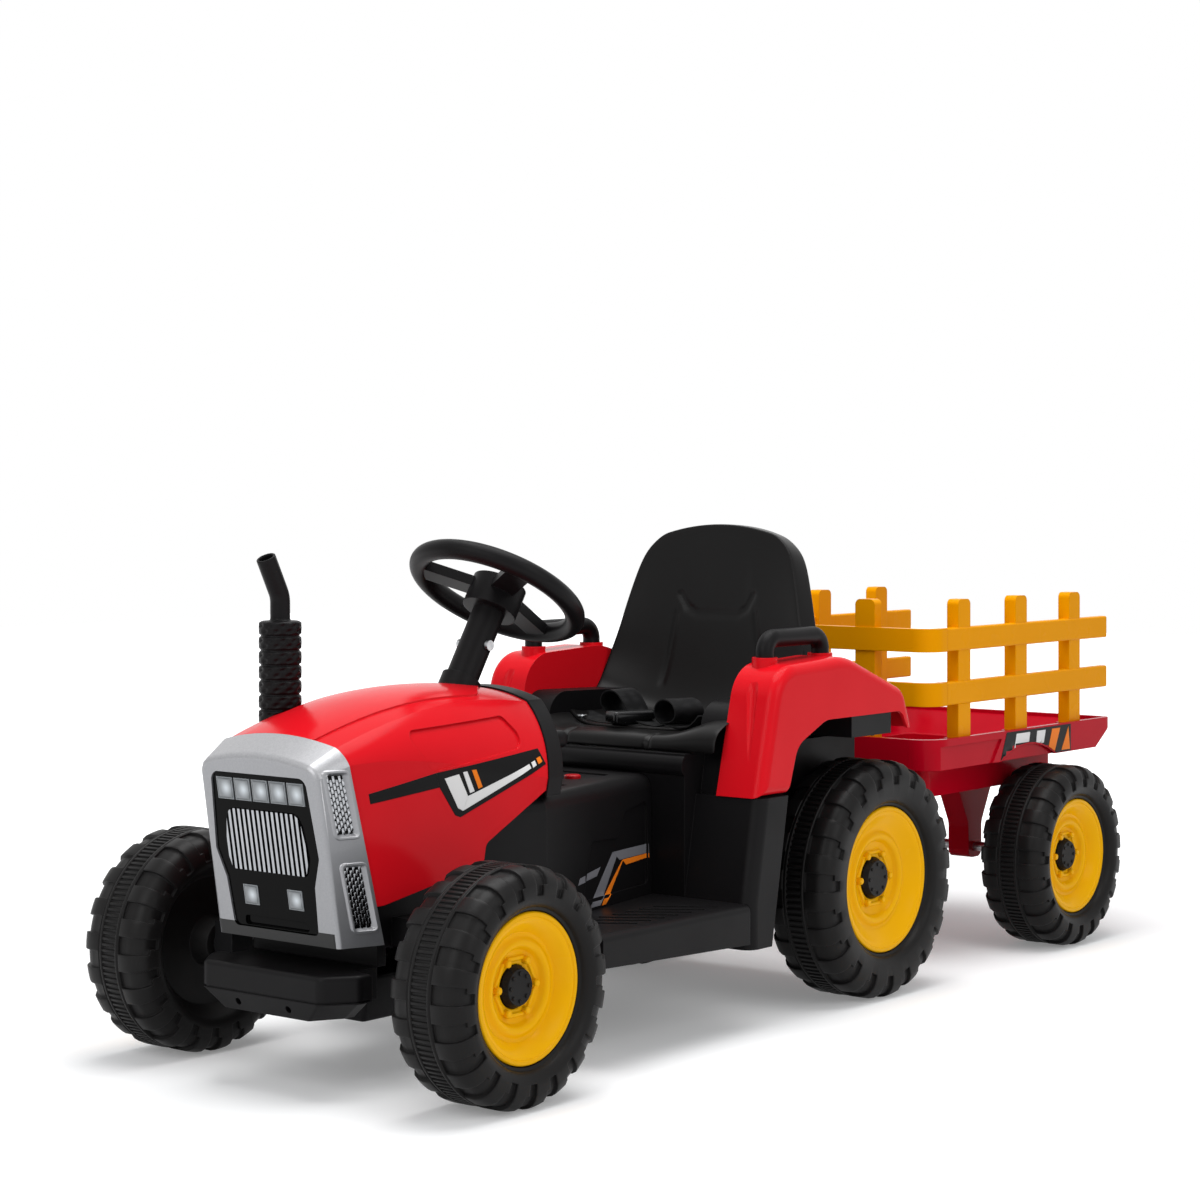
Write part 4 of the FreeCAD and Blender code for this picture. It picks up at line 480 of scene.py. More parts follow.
# Painted shade: the lacquer is painted brightest on faces turned up and ahead, towards the lamps, and darker
# grey on the flanks
facing_the_lamps = add(tree, "ShaderNodeVectorMath", {0: add(tree, "ShaderNodeTexCoord", {}).outputs["Normal"],
                                               1: (0.42, 0.0, 0.85)}, operation="DOT_PRODUCT")
share = add(tree, "ShaderNodeMapRange", {"Value": facing_the_lamps.outputs["Value"],
                                         "From Min": 0.0, "From Max": 0.75})
# The flank tone #808184 is painted shade, and the flake tone is the painted lit side
lacquer = add(tree, "ShaderNodeMix", {"Factor": share.outputs["Result"], "A": linear("#808184"),
                                      "B": bright.outputs["Result"]}, data_type="RGBA")
# The foot of the frame, under the gloss black mask, is covered in spraying and stays black
foot_top, foot_half_width = 0.157, 0.078
split = add(tree, "ShaderNodeSeparateXYZ", {"Vector": place})
foot = add(tree, "ShaderNodeMath", {0: split.outputs["Z"], 1: foot_top}, operation="LESS_THAN")
width = add(tree, "ShaderNodeMath", {0: split.outputs["Y"]}, operation="ABSOLUTE")
middle = add(tree, "ShaderNodeMath", {0: width.outputs["Value"], 1: foot_half_width}, operation="LESS_THAN")
bare = add(tree, "ShaderNodeMath", {0: foot.outputs["Value"], 1: middle.outputs["Value"]},
           operation="MULTIPLY")
tone = add(tree, "ShaderNodeMix", {"Factor": bare.outputs["Value"], "A": lacquer.outputs["Result"],
                                   "B": linear("#050505")}, data_type="RGBA")
sheen = add(tree, "ShaderNodeMapRange", {"Value": flake.outputs["Distance"], "To Min": 0.3, "To Max": 0.42})
shader = add(tree, "ShaderNodeBsdfPrincipled", {"Base Color": tone.outputs["Result"], "Metallic": 0.55,
                                                "Roughness": sheen.outputs["Result"], "Coat Weight": 0.2})
add(tree, "ShaderNodeOutputMaterial", {"Surface": shader.outputs["BSDF"]})
dress(silver, "grille_surround")
# Gloss black ABS: deep and reflective, hardly any texture
gloss_black = moulded("gloss_black_abs", "#040404", "#030303", 0.12, 8.0, 0.02, 0.05)
dress(gloss_black, "grille_panel")


def plated(name, keep):
    """Bright plating, laid only where keep is 1; the moulding behind it stays gloss black."""
    material, tree = new_tree(name)
    place = add(tree, "ShaderNodeTexCoord", {}).outputs["Object"]
    haze = add(tree, "ShaderNodeTexNoise", {"Vector": place, "Scale": 1000 / 12, "Detail": 3.0})
    tone = add(tree, "ShaderNodeMix", {"Factor": haze.outputs["Fac"], "A": linear("#A9ABAE"),
                                       "B": linear("#929498")}, data_type="RGBA")
    front = keep(tree, place)
    colour = add(tree, "ShaderNodeMix", {"Factor": front, "A": linear("#0A0A0B"),
                                         "B": tone.outputs["Result"]}, data_type="RGBA")
    sheen = add(tree, "ShaderNodeMapRange", {"Value": haze.outputs["Fac"], "To Min": 0.12, "To Max": 0.26})
    shader = add(tree, "ShaderNodeBsdfPrincipled", {"Base Color": colour.outputs["Result"], "Metallic": front,
                                                    "Roughness": sheen.outputs["Result"]})
    add(tree, "ShaderNodeOutputMaterial", {"Surface": shader.outputs["BSDF"]})
    return material


# The nose leans forward, so much for each unit of height
nose_lean = 0.17


def bar_fronts(tree, place):
    """1 on the outer half of the bars: ahead of a plane that leans like the nose."""
    plane_at_ground = 0.6338
    split = add(tree, "ShaderNodeSeparateXYZ", {"Vector": place})
    lean = add(tree, "ShaderNodeMath", {0: split.outputs["Z"], 1: -nose_lean, 2: split.outputs["X"]},
               operation="MULTIPLY_ADD")
    ahead = add(tree, "ShaderNodeMath", {0: lean.outputs["Value"], 1: plane_at_ground},
                operation="GREATER_THAN")
    return ahead.outputs["Value"]


# Plated bars: white studio reflections between deep black gaps
dress(plated("vacuum_plated_grille_bars", bar_fronts), "grille_bars")

# Lamps: five upper and two lower square acrylic lenses, pressed into the mask from the front.
# Each has a stepped rim and a cushioned face.

# Frosted acrylic: cool grey with a fine frost, and a soft bright spot from the LED behind it
frosted, tree = new_tree("frosted_acrylic_lens")
over = add(tree, "ShaderNodeTexCoord", {}).outputs["UV"]
round_spot = add(tree, "ShaderNodeTexGradient", {"Vector": over}, gradient_type="SPHERICAL")
place = add(tree, "ShaderNodeTexCoord", {}).outputs["Object"]
frost = add(tree, "ShaderNodeTexNoise", {"Vector": place, "Scale": 1000 / 2.5, "Detail": 2.0})
spot = add(tree, "ShaderNodeMapRange", {"Value": round_spot.outputs["Fac"], "From Min": 0.1, "From Max": 1.1},
           interpolation_type="SMOOTHSTEP")
tone = add(tree, "ShaderNodeMix", {"Factor": spot.outputs["Result"], "A": linear("#75797C"),
                                   "B": linear("#BAC0C5")}, data_type="RGBA")
glow = add(tree, "ShaderNodeMath", {0: spot.outputs["Result"], 1: 0.16}, operation="MULTIPLY")
relief = add(tree, "ShaderNodeBump", {"Height": frost.outputs["Fac"], "Strength": 0.4, "Distance": 0.0002})
shader = add(tree, "ShaderNodeBsdfPrincipled", {
    "Base Color": tone.outputs["Result"], "Roughness": 0.24, "Normal": relief.outputs["Normal"],
    "Coat Weight": 0.3, "Emission Color": linear("#E6F0F6"), "Emission Strength": glow.outputs["Value"]})
add(tree, "ShaderNodeOutputMaterial", {"Surface": shader.outputs["BSDF"]})


def lamp_lens(y, z, half):
    """Square block with a stepped rim and a cushioned face, leaning like the nose."""
    block, spot_aside = 0.0044, 0.0022
    nose_top_x, nose_top_z = 0.6905, 0.323
    front = nose_top_x + nose_lean * (z - nose_top_z)
    piece = start(bpy.ops.mesh.primitive_cube_add, size=1, location=(front - block / 2, y, z),
                  scale=(block, 2 * half, 2 * half))
    bpy.ops.object.mode_set(mode="EDIT")
    bpy.ops.mesh.select_mode(type="FACE")
    pick_faces(piece, lambda p: p.x > front - 0.0001)
    bpy.ops.mesh.inset(thickness=0.0011)
    bpy.ops.mesh.extrude_region_move(TRANSFORM_OT_translate={"value": (-0.0007, 0, 0)})
    bpy.ops.mesh.inset(thickness=0.0008)
    bpy.ops.mesh.extrude_region_move(TRANSFORM_OT_translate={"value": (0.001, 0, 0)})
    bpy.ops.mesh.inset(thickness=0.0018)
    bpy.ops.transform.translate(value=(0.0003, 0, 0))
    mesh = bmesh.from_edit_mesh(piece.data)
    layer = mesh.loops.layers.uv.verify()
    for corner in mesh.verts:
        corner.co.x += nose_lean * (corner.co.z - z)
    for face in mesh.faces:
        for loop in face.loops:
            loop[layer].uv = ((loop.vert.co.y - y - spot_aside) / half, (loop.vert.co.z - z) / half)
    bmesh.update_edit_mesh(piece.data)
    bpy.ops.object.mode_set(mode="OBJECT")
    soften(piece, 0.35, 2, 30)
    paint(piece, frosted)
    return piece


row_pitch, row_z, low_y, low_z = 0.024, 0.288, 0.030, 0.185
lens_row = [lamp_lens(row_pitch * i, row_z, 0.0108) for i in range(-2, 3)]
lens_low = [lamp_lens(y, low_z, 0.0098) for y in (-low_y, low_y)]
lens_set = joined("lamp_lens_set", lens_row + lens_low)
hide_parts("lamp_lenses")
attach(lens_set, "chassis")

# Side vents: a plated brick mesh on a black plate in each window, framed by a silver trim whose
# lip slopes in towards the mesh.
chrome = plated("vacuum_plated_mesh", lambda tree, place: 1.0)


def on_side(x, z, out, side):
    """Point on the flat side wall of the nose, moved outwards. The wall closes in towards the front."""
    wall_x, wall_y, wall_z, closing, spread = 0.640, 0.0928, 0.240, 0.36, 0.04
    return (x, side * (wall_y - closing * (x - wall_x) + spread * (z - wall_z) + out), z)


def vent(name, low, high, rear, side):
    """Trim and back plate inset from one rounded plane, and rows of staggered bricks, bent to the wall."""
    wide, tall, window_lean, trim_margin = 0.021, high - low, 0.226, 0.007
    brick_across, brick_up = 0.003, 0.0071
    bpy.ops.object.select_all(action="DESELECT")
    bpy.ops.mesh.primitive_plane_add(size=1, rotation=(-math.pi / 2, 0, 0))
    trim = bpy.context.object
    trim.scale = (wide + trim_margin, tall + trim_margin, 1)
    bpy.ops.object.transform_apply()
    # The trim takes the silver lacquer, with its painted shade on faces turned away from up and ahead
    trim.data.materials.append(silver)
    trim.data.materials.append(gloss_black)
    bpy.ops.object.mode_set(mode="EDIT")
    bpy.ops.mesh.select_mode(type="VERT")
    bpy.ops.mesh.select_all(action="SELECT")
    bpy.ops.mesh.bevel(offset=0.006, affect="VERTICES", segments=5)
    bpy.ops.mesh.select_mode(type="FACE")
    bpy.ops.mesh.select_all(action="SELECT")
    for inset_mm, rise_mm in ((0.6, 2.0), (0.6, 0.5), (1.6, 0.0), (0.5, -0.6), (2.0, -3.6), (0.3, -0.6)):
        bpy.ops.mesh.inset(thickness=inset_mm / 1000, depth=rise_mm / 1000)
    trim.active_material_index = 1
    bpy.ops.object.material_slot_assign()
    bpy.ops.object.mode_set(mode="OBJECT")
    brick = start(bpy.ops.mesh.primitive_cube_add, size=1, location=(0, -0.0022, 0),
                  scale=(0.0024, 0.0022, 0.0064))
    soften(brick, 0.4, 2, 30)
    paint(brick, chrome)
    pieces = [trim]
    for column in range(6):
        for row in range(12):
            up = brick_up * (row + 0.5 * (column % 2)) + 0.001 - tall / 2
            if abs(up) < tall / 2 - 0.003:
                shape = copy_of(brick, "brick")
                shape.location = (brick_across * (column - 2.5), 0, up)
                pieces.append(shape)
    bpy.data.objects.remove(brick)
    piece = joined(name, pieces)
    mesh = edit(piece)
    for corner in mesh.verts:
        across, out, up = corner.co
        z = (low + high) / 2 + up
        corner.co = on_side(rear + window_lean * (z - low) + wide / 2 + across, z, out - 0.0008, side)
    bmesh.update_edit_mesh(piece.data)
    if side < 0:
        bpy.ops.mesh.select_all(action="SELECT")
        bpy.ops.mesh.flip_normals()
    bpy.ops.object.mode_set(mode="OBJECT")
    soften(piece, 0.0, smooth_deg=35)
    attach(piece, "chassis")
    return piece


for hand, side in (("left", 1), ("right", -1)):
    lower_vent = vent("vent_lower_" + hand, low=0.159, high=0.221, rear=0.6248, side=side)
    vent("vent_upper_" + hand, low=0.249, high=0.309, rear=0.6451, side=side)
    if side > 0:
        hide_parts("vent_meshes")

# Hood stripes: die-cut vinyl on both flanks under the crease, a black band with a white hook, two
# short bars and a long white stripe that ends in two squares. The film follows the panel.
sticker_set("hood", "hood", "chassis", (
    ("band", 0.3, black_vinyl, "gloss_black",
     [(632.5, 287), (630.4, 277.3), (546, 286.5), (550, 300.8)]),
    ("panel", 0.3, black_vinyl, "gloss_black",
     [(550, 300.8), (546, 286.5), (525.3, 257.7), (518.6, 255.2), (399, 298), (404.6, 313.8)]),
    ("hook", 0.6, white_vinyl, "silver_paint",
     [(539.8, 294.5), (521.1, 297.4), (509, 275), (515.5, 261.2), (521.9, 264.3)]),
    ("stripe", 0.6, white_vinyl, "silver_paint",
     [(509, 275), (423.2, 299.8), (421.5, 295.4), (515.5, 261.2)]),
    ("bar_white", 0.6, white_vinyl, "silver_paint",
     [(516, 298.9), (510.2, 299.4), (500.3, 279.2), (506.2, 277.6)]),
    ("bar_orange", 0.6, orange_vinyl, "amber",
     [(504.2, 300.2), (498.2, 300.2), (489.6, 282.6), (495.1, 281)]),
    ("square_white", 0.6, white_vinyl, "silver_paint",
     [(420, 301), (414.2, 302.7), (412.8, 297.8), (418.5, 295.6)]),
    ("square_orange", 0.6, orange_vinyl, "amber",
     [(411.5, 304.4), (405.1, 306.1), (403.4, 300.8), (409.8, 298.5)])))

# Exhaust stack: black moulded pipe with a muffler of stacked rings, pushed into the hood on the right.
# Two staggered rows of slanted dimples run round each ring.


def merged_copy(node, name):
    """Copy of a CAD node's mesh as one skin, a start for a piece that takes the node's place."""
    piece = copy_of(nodes[node], name)
    piece.parent = None
    for key in list(piece.keys()):
        del piece[key]
    edit(piece)
    bpy.ops.mesh.select_all(action="SELECT")
    bpy.ops.mesh.remove_doubles(threshold=1e-5)
    bpy.ops.object.mode_set(mode="OBJECT")
    return piece


stack = merged_copy("exhaust_stack", "exhaust_stack_dimpled")
apply(stack, "REMESH", mode="VOXEL", voxel_size=0.0011)
apply(stack, "SMOOTH", factor=0.5, iterations=4)
stack_x, stack_y, muffler_top = 0.574, -0.0865, 0.443
ring_step, ring_radius, dimple_count = 0.0147, 0.0215, 10
dimple_wide, dimple_high, dimple_depth, dimple_slant = 0.0032, 0.0019, 0.0019, 0.6
upper_row, row_step = 0.31, 0.38
for corner in stack.data.vertices:
    out = Vector((corner.co.x - stack_x, corner.co.y - stack_y, 0))
    if out.length > ring_radius - 0.0015 and corner.co.z < muffler_top:
        level = (muffler_top - corner.co.z) / ring_step % 1
        row = int(level > 0.5)
        rise = (level - upper_row - row_step * row) * ring_step
        share = (math.atan2(out.y, out.x) / math.tau * dimple_count + 0.5 * row) % 1 - 0.5
        across = share * math.tau * ring_radius / dimple_count + dimple_slant * rise
        hollow = math.exp(-(across / dimple_wide) ** 2 - (rise / dimple_high) ** 2)
        corner.co -= out.normalized() * dimple_depth * hollow
soften(stack, 0.0, smooth_deg=45)
paint(stack, satin_black)
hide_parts("exhaust_stack")
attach(stack, "chassis")

# Dash and steering wheel: black polypropylene mouldings. The wheel's stem runs in the cowl's guide on
# a steel shaft, held by a cross bolt, and the horn button sits in its hub.
dress(satin_black, "dash_cowl", "steering_wheel")
# The button is a loose fit in its pocket, so it is drawn 4 percent smaller than its CAD node
button_size = 0.96
button = merged_copy("horn_button", "horn_button_cap")
low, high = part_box("horn_button")
edit(button)
bpy.ops.mesh.select_all(action="SELECT")
bpy.ops.transform.resize(value=(button_size, button_size, button_size),
                         center_override=[(a + b) / 2 for a, b in zip(low, high)])
bpy.ops.object.mode_set(mode="OBJECT")
soften(button, 0.0)
paint(button, satin_black)
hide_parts("horn_button")
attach(button, "horn_push")

# Seat: a blow-moulded black shell, pan and back in one sweep, screwed to the base through its front
# edge. The wall rolls over at the rim, and a shallow smile line and two creases stiffen the back.


def near_line(point, line):
    """Distance from a point to a run of straight lines, all as (y, z)."""
    best = 1.0
    for a, b in zip(line, line[1:]):
        run = (b[0] - a[0], b[1] - a[1])
        t = ((point[0] - a[0]) * run[0] + (point[1] - a[1]) * run[1]) / (run[0] ** 2 + run[1] ** 2)
        t = max(0.0, min(1.0, t))
        best = min(best, math.hypot(point[0] - a[0] - t * run[0], point[1] - a[1] - t * run[1]))
    return best


def smooth(t):
    """0 to 1 with soft ends."""
    t = max(0.0, min(1.0, t))
    return t * t * (3 - 2 * t)


def seat_rise(y):
    """How far the seat front climbs towards the side walls."""
    climb, level_half, run = 0.026, 0.07, 0.065
    return climb * smooth((abs(y) - level_half) / run)


def swept(name, columns, rows, wide):
    """Grid laid row by row. A row gives x and z at its middle, half width, lift of its sides and how far
    that leans from upright in degrees, set-back and drop of its ends, and share of the climb to the walls."""
    piece = start(bpy.ops.mesh.primitive_grid_add, x_subdivisions=columns, y_subdivisions=len(rows) - 1,
                  size=2)
    piece.name = name
    for corner in piece.data.vertices:
        t = corner.co.x
        row = round((corner.co.y + 1) / 2 * (len(rows) - 1))
        x, z, half, curl, lean, bend, drop, climb = rows[row]
        y = half * t
        lift = curl * abs(t) ** wide
        corner.co = (x + lift * math.sin(math.radians(lean)) - bend * abs(t) ** 3, y,
                     z + lift * math.cos(math.radians(lean)) - drop * t * t + climb * seat_rise(y))
    return piece


def rounded_rim(piece, width, levels):
    """The wall's edge rolled over, and the whole piece smoothed."""
    edit(piece)
    bpy.ops.mesh.select_mode(type="EDGE")
    bpy.ops.mesh.select_all(action="DESELECT")
    bpy.ops.mesh.edges_select_sharp(sharpness=math.radians(50))
    bpy.ops.mesh.bevel(offset=width, segments=2)
    bpy.ops.mesh.select_mode(type="FACE")
    bpy.ops.object.mode_set(mode="OBJECT")
    apply(piece, "SUBSURF", levels=levels, render_levels=levels)


seat = swept("seat_shell", 14, [
    (0.118, 0.3115, 0.141, 0.0, 0, 0.055, 0.0, 0.72), (0.106, 0.3085, 0.141, 0.003, 0, 0.048, 0.0, 0.64),
    (0.070, 0.3045, 0.141, 0.015, 0, 0.025, 0.0, 0.3), (0.025, 0.3040, 0.142, 0.030, 10, 0.008, 0.0, 0.0),
    (-0.006, 0.3080, 0.143, 0.034, 30, 0.0, 0.0, 0.0), (-0.024, 0.3220, 0.145, 0.032, 55, 0.0, 0.0, 0.0),
    (-0.034, 0.345, 0.147, 0.026, 75, 0.0, 0.0, 0.0), (-0.039, 0.375, 0.142, 0.021, 83, 0.0, 0.0, 0.0),
    (-0.041, 0.405, 0.132, 0.018, 85, 0.0, 0.0, 0.0), (-0.043, 0.435, 0.125, 0.015, 86, 0.0, 0.0, 0.0),
    (-0.0445, 0.462, 0.118, 0.011, 86, 0.0, 0.0, 0.0), (-0.046, 0.487, 0.111, 0.007, 86, 0.0, 0.0, 0.0),
    (-0.047, 0.511, 0.102, 0.003, 86, 0.0, 0.005, 0.0),
    (-0.048, 0.534, 0.083, 0.0, 86, 0.0, 0.012, 0.0)], 2.5)
# The back is a thick hollow wall, the pan a thin one, and the wall swells between the two
back_thickness, pan_share, swell_from, swell_run = 0.026, 0.22, 0.33, 0.06
depth = seat.vertex_groups.new(name="depth")
for corner in seat.data.vertices:
    depth.add([corner.index], smooth((corner.co.z - swell_from) / swell_run), "REPLACE")
apply(seat, "SOLIDIFY", thickness=back_thickness, offset=-1.0, vertex_group="depth",
      thickness_vertex_group=pan_share)
rounded_rim(seat, 0.0026, 3)
# The smile line is a groove along the foot of a shallow panel that runs out upwards
panel_foot, panel_head, panel_fade, panel_half = 0.429, 0.5, 0.07, 0.05
panel_depth, smile_depth, smile_width, crease_depth, crease_width = 0.0014, 0.0024, 0.004, 0.0014, 0.0035
smile = [(-0.052, 0.452), (-0.043, 0.437), (-0.030, panel_foot),
         (0.030, panel_foot), (0.043, 0.437), (0.052, 0.452)]
creases = [[(-0.056, 0.432), (-0.070, 0.345)], [(0.056, 0.432), (0.070, 0.345)]]
for corner in seat.data.vertices:
    y, z = spot = (corner.co.y, corner.co.z)
    if corner.normal.x > 0.6 and z > 0.34:
        fall = near_line(spot, smile) / smile_width
        corner.co.x -= smile_depth * math.exp(-fall * fall)
        if abs(y) < panel_half and panel_foot < z < panel_head:
            inside = min(1.0, (z - panel_foot) / smile_width) * min(1.0, (panel_half - abs(y)) / 0.01)
            corner.co.x -= panel_depth * inside * max(0.0, 1 - (z - panel_foot) / panel_fade)
        for crease in creases:
            fall = near_line(spot, crease) / crease_width
            corner.co.x -= crease_depth * math.exp(-fall * fall)
soften(seat, 0.0, smooth_deg=60)
# Blow-moulded polypropylene with a soft leather-like grain, a broad dull highlight
seat_black = moulded("blow_moulded_black_polypropylene", "#100F0F", "#0B0A0A", 0.34, 1.8, 0.04, 0.13)
paint(seat, seat_black)
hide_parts("seat")
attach(seat, "chassis")
# Rounded front of the pan, climbing to the walls at both ends, with two short creases
front = swept("seat_front", 20, [
    (x, z, 0.1500, 0.0, 0, 0.0, 0.0, climb) for x, z, climb in (
        (0.1635, 0.2905, 0.0), (0.1640, 0.2965, 0.02), (0.1610, 0.3040, 0.20), (0.1500, 0.3080, 0.45),
        (0.1180, 0.3085, 0.8), (0.0700, 0.3030, 0.8), (0.0100, 0.3000, 0.8), (-0.0600, 0.2950, 0.9),
        (-0.1450, 0.2930, 0.9), (-0.1490, 0.2905, 0.0))], 1.0)
apply(front, "SOLIDIFY", thickness=0.0025, offset=-1.0)
apply(front, "SUBSURF", levels=3, render_levels=3)
crease_y, crease_end = 0.0577, 0.138
for corner in front.data.vertices:
    crease = math.exp(-((abs(corner.co.y) - crease_y) / 0.0028) ** 2)
    corner.co.x -= 0.0026 * crease * smooth((corner.co.x - crease_end) / 0.016)
    corner.co.z -= 0.0018 * crease * smooth((corner.co.x - crease_end) / 0.008)
soften(front, 0.0, smooth_deg=60)
paint(front, seat_black)
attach(front, "chassis")
# The screws' heads stand on the rounded front, above their place in the plain pan
screw_lift = 0.0075
screws = merged_copy("seat_screws", "seat_screw_pair")
edit(screws)
bpy.ops.mesh.select_all(action="SELECT")
bpy.ops.transform.translate(value=(0, 0, screw_lift))
bpy.ops.object.mode_set(mode="OBJECT")
soften(screws, 0.0)
paint(screws, zinc)
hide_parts("seat_screws")
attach(screws, "chassis")

# Lap belt: 38 mm polyester webbing, anchored at both sides of the pan and left in two loose curls,
# with a black acetal buckle between them.
webbing_width, webbing_thickness = 0.038, 0.0014
# Woven polyester: soft black. Its 2 mm ribs and 3 mm yarns are too fine to show and are drawn
# six times as coarse; a wave repeats after 0.314 / Scale
webbing, tree = new_tree("black_polyester_webbing")
place = add(tree, "ShaderNodeTexCoord", {}).outputs["UV"]
coarse_rib_mm, coarse_yarn_mm = 2.0 * 6.28, 3.0 * 6.28
rib = add(tree, "ShaderNodeTexWave", {"Vector": place, "Scale": 0.314 * 1000 / coarse_rib_mm,
                                      "Distortion": 0.4}, bands_direction="Y")
yarn = add(tree, "ShaderNodeTexWave", {"Vector": place, "Scale": 0.314 * 1000 / coarse_yarn_mm,
                                       "Distortion": 0.3}, bands_direction="X")
weave = add(tree, "ShaderNodeMath", {0: rib.outputs["Fac"], 1: yarn.outputs["Fac"]}, operation="MULTIPLY")
tone = add(tree, "ShaderNodeMix", {"Factor": weave.outputs["Value"], "A": linear("#060607"),
                                   "B": linear("#161617")}, data_type="RGBA")
relief = add(tree, "ShaderNodeBump", {"Height": weave.outputs["Value"], "Strength": 0.7, "Distance": 0.0004})
shader = add(tree, "ShaderNodeBsdfPrincipled", {
    "Base Color": tone.outputs["Result"], "Roughness": 0.62, "Normal": relief.outputs["Normal"],
    "Sheen Weight": 0.05, "Sheen Roughness": 0.4, "Specular IOR Level": 0.1})
add(tree, "ShaderNodeOutputMaterial", {"Surface": shader.outputs["BSDF"]})


def strap(name, points, ahead, skew, turn_deg):
    """Webbing: an edge of its width, extruded along a smooth line of (y, z) and turned, then thickened."""
    curve = bpy.data.curves.new(name, "CURVE")
    curve.dimensions = "3D"
    curve.resolution_u = 8
    spline = curve.splines.new("NURBS")
    spline.points.add(len(points) - 1)
    for point, (y, z) in zip(spline.points, points):
        point.co = (0, y, z, 1)
    spline.order_u = 3
    spline.use_endpoint_u = True
    line = bpy.data.objects.new(name + "_line", curve)
    bpy.context.collection.objects.link(line)
    bpy.context.view_layer.update()
    route = [v.co.copy() for v in bpy.data.meshes.new_from_object(line).vertices]
    bpy.data.objects.remove(line)
    anchor, lead = route[:2]
    piece = start(bpy.ops.mesh.primitive_plane_add, size=webbing_width, location=(ahead, anchor.y, anchor.z))
    piece.name = name
    bpy.ops.object.mode_set(mode="EDIT")
    bpy.ops.mesh.select_mode(type="EDGE")
    bpy.ops.mesh.select_all(action="DESELECT")
    shape = bmesh.from_edit_mesh(piece.data)
    for corner in shape.verts:
        end = anchor if corner.co.y < anchor.y else lead
        corner.co.y, corner.co.z = end.y, end.z
    for edge in shape.edges:
        if all(abs(v.co.y - lead.y) < 1e-7 and abs(v.co.z - lead.z) < 1e-7 for v in edge.verts):
            edge.select_set(True)
    bmesh.update_edit_mesh(piece.data)
    for a, b in zip(route[1:], route[2:]):
        step = (skew * (b - a).length, b.y - a.y, b.z - a.z)
        bpy.ops.mesh.extrude_region_move(TRANSFORM_OT_translate={"value": step})
    bpy.ops.mesh.select_all(action="SELECT")
    bpy.ops.transform.rotate(value=math.radians(turn_deg), orient_axis="Z",
                             center_override=(ahead, (points[0][0] + points[-1][0]) / 2, 0))
    bpy.ops.mesh.subdivide(number_cuts=3)
    bpy.ops.mesh.normals_make_consistent(inside=False)
    bpy.ops.object.mode_set(mode="OBJECT")
    apply(piece, "SOLIDIFY", thickness=webbing_thickness, offset=0.0)
    edit(piece)
    bpy.ops.mesh.select_all(action="SELECT")
    bpy.ops.uv.cube_project(cube_size=1.0)
    bpy.ops.object.mode_set(mode="OBJECT")
    soften(piece, 0.0, smooth_deg=50)
    paint(piece, webbing)
    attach(piece, "chassis")
    return piece


# Height of the pan where the straps lie
pan = 0.3055
right_strap = strap("belt_right", [(-0.126, pan + 0.024), (-0.114, pan + 0.014), (-0.096, pan + 0.008),
                                   (-0.066, pan + 0.003), (-0.036, pan + 0.003), (-0.050, pan + 0.014),
                                   (-0.060, pan + 0.028), (-0.052, pan + 0.041), (-0.034, pan + 0.042),
                                   (-0.020, pan + 0.028), (-0.010, pan + 0.012), (0.008, pan + 0.006),
                                   (0.030, pan + 0.005)], ahead=0.070, skew=0.10, turn_deg=0)
strap("belt_left", [(0.112, pan + 0.022), (0.098, pan + 0.010), (0.076, pan + 0.006),
                    (0.048, pan + 0.006), (0.026, pan + 0.010), (0.020, pan + 0.024),
                    (0.034, pan + 0.036), (0.058, pan + 0.034), (0.068, pan + 0.020),
                    (0.056, pan + 0.010), (0.038, pan + 0.009)], ahead=0.100, skew=0.0, turn_deg=20)
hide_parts("seat_belt")
# The buckle lies on the pan between the straps, turned like the left one
buckle_x, buckle_y, buckle_turn_deg = 0.104, -0.012, 20
buckle = merged_copy("belt_buckle", "belt_buckle_shape")
edit(buckle)
bpy.ops.mesh.select_all(action="SELECT")
low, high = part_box("belt_buckle")
middle = [(a + b) / 2 for a, b in zip(low, high)]
bpy.ops.transform.rotate(value=math.radians(buckle_turn_deg), orient_axis="Z", center_override=middle)
bpy.ops.transform.translate(value=(buckle_x - middle[0], buckle_y - middle[1], pan + 0.0055 - low[2]))
bpy.ops.object.mode_set(mode="OBJECT")
soften(buckle, 0.0)
# Acetal: black, smooth and slightly waxy
paint(buckle, moulded("black_acetal", "#161617", "#101011", 0.26, 4.0, 0.02, 0.3))
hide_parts("belt_buckle")
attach(buckle, "chassis")

# Trailer: dark red tub on two moulded legs, an axle through them and an amber fence that
# plugs into sockets in the tub's rim.

# Gloss ABS in crimson: deeper than the tractor's red, with the same soft orange peel
deep_red = moulded("crimson_abs", "#BA061F", "#AA041A", 0.22, 6.0, 0.03, 0.05)
dress(deep_red, "trailer_tub")
# Side panel stickers: a black film with two white and two orange slanted blocks, cut round the
# wheel recess, which is given as x, z and radius
wheel_recess_mm = (-476, 117, 140)
sticker_set("tub", "trailer_tub", "trailer", (
    ("film", 0.3, black_vinyl, "gloss_black",
     [(-422, 273), (-582.5, 273), (-582.5, 239), (-407, 239)]),
    ("white_front", 0.5, white_vinyl, "silver_paint",
     [(-445.7, 270), (-479, 270), (-474, 249), (-438, 246)]),
    ("white_rear", 0.5, white_vinyl, "silver_paint",
     [(-496.5, 270), (-517.9, 270), (-511.5, 249), (-492.7, 249)]),
    ("orange_front", 0.5, orange_vinyl, "amber",
     [(-534.4, 270), (-554.9, 270), (-541, 241.5), (-524.5, 246)]),
    ("orange_rear", 0.5, orange_vinyl, "amber",
     [(-576, 270), (-580, 241), (-558, 241)])), wheel_recess_mm)
# Gloss ABS in amber: warm and even, hardly any orange peel
amber = moulded("gloss_amber_abs", "#E89A01", "#E09200", 0.28, 6.0, 0.04, 0.03)
dress(amber, "fence_front", "fence_left", "fence_right")

# Studio: a pale floor with the object's soft shadow on it, broad light from above and in front,
# and a camera where the photograph was taken.


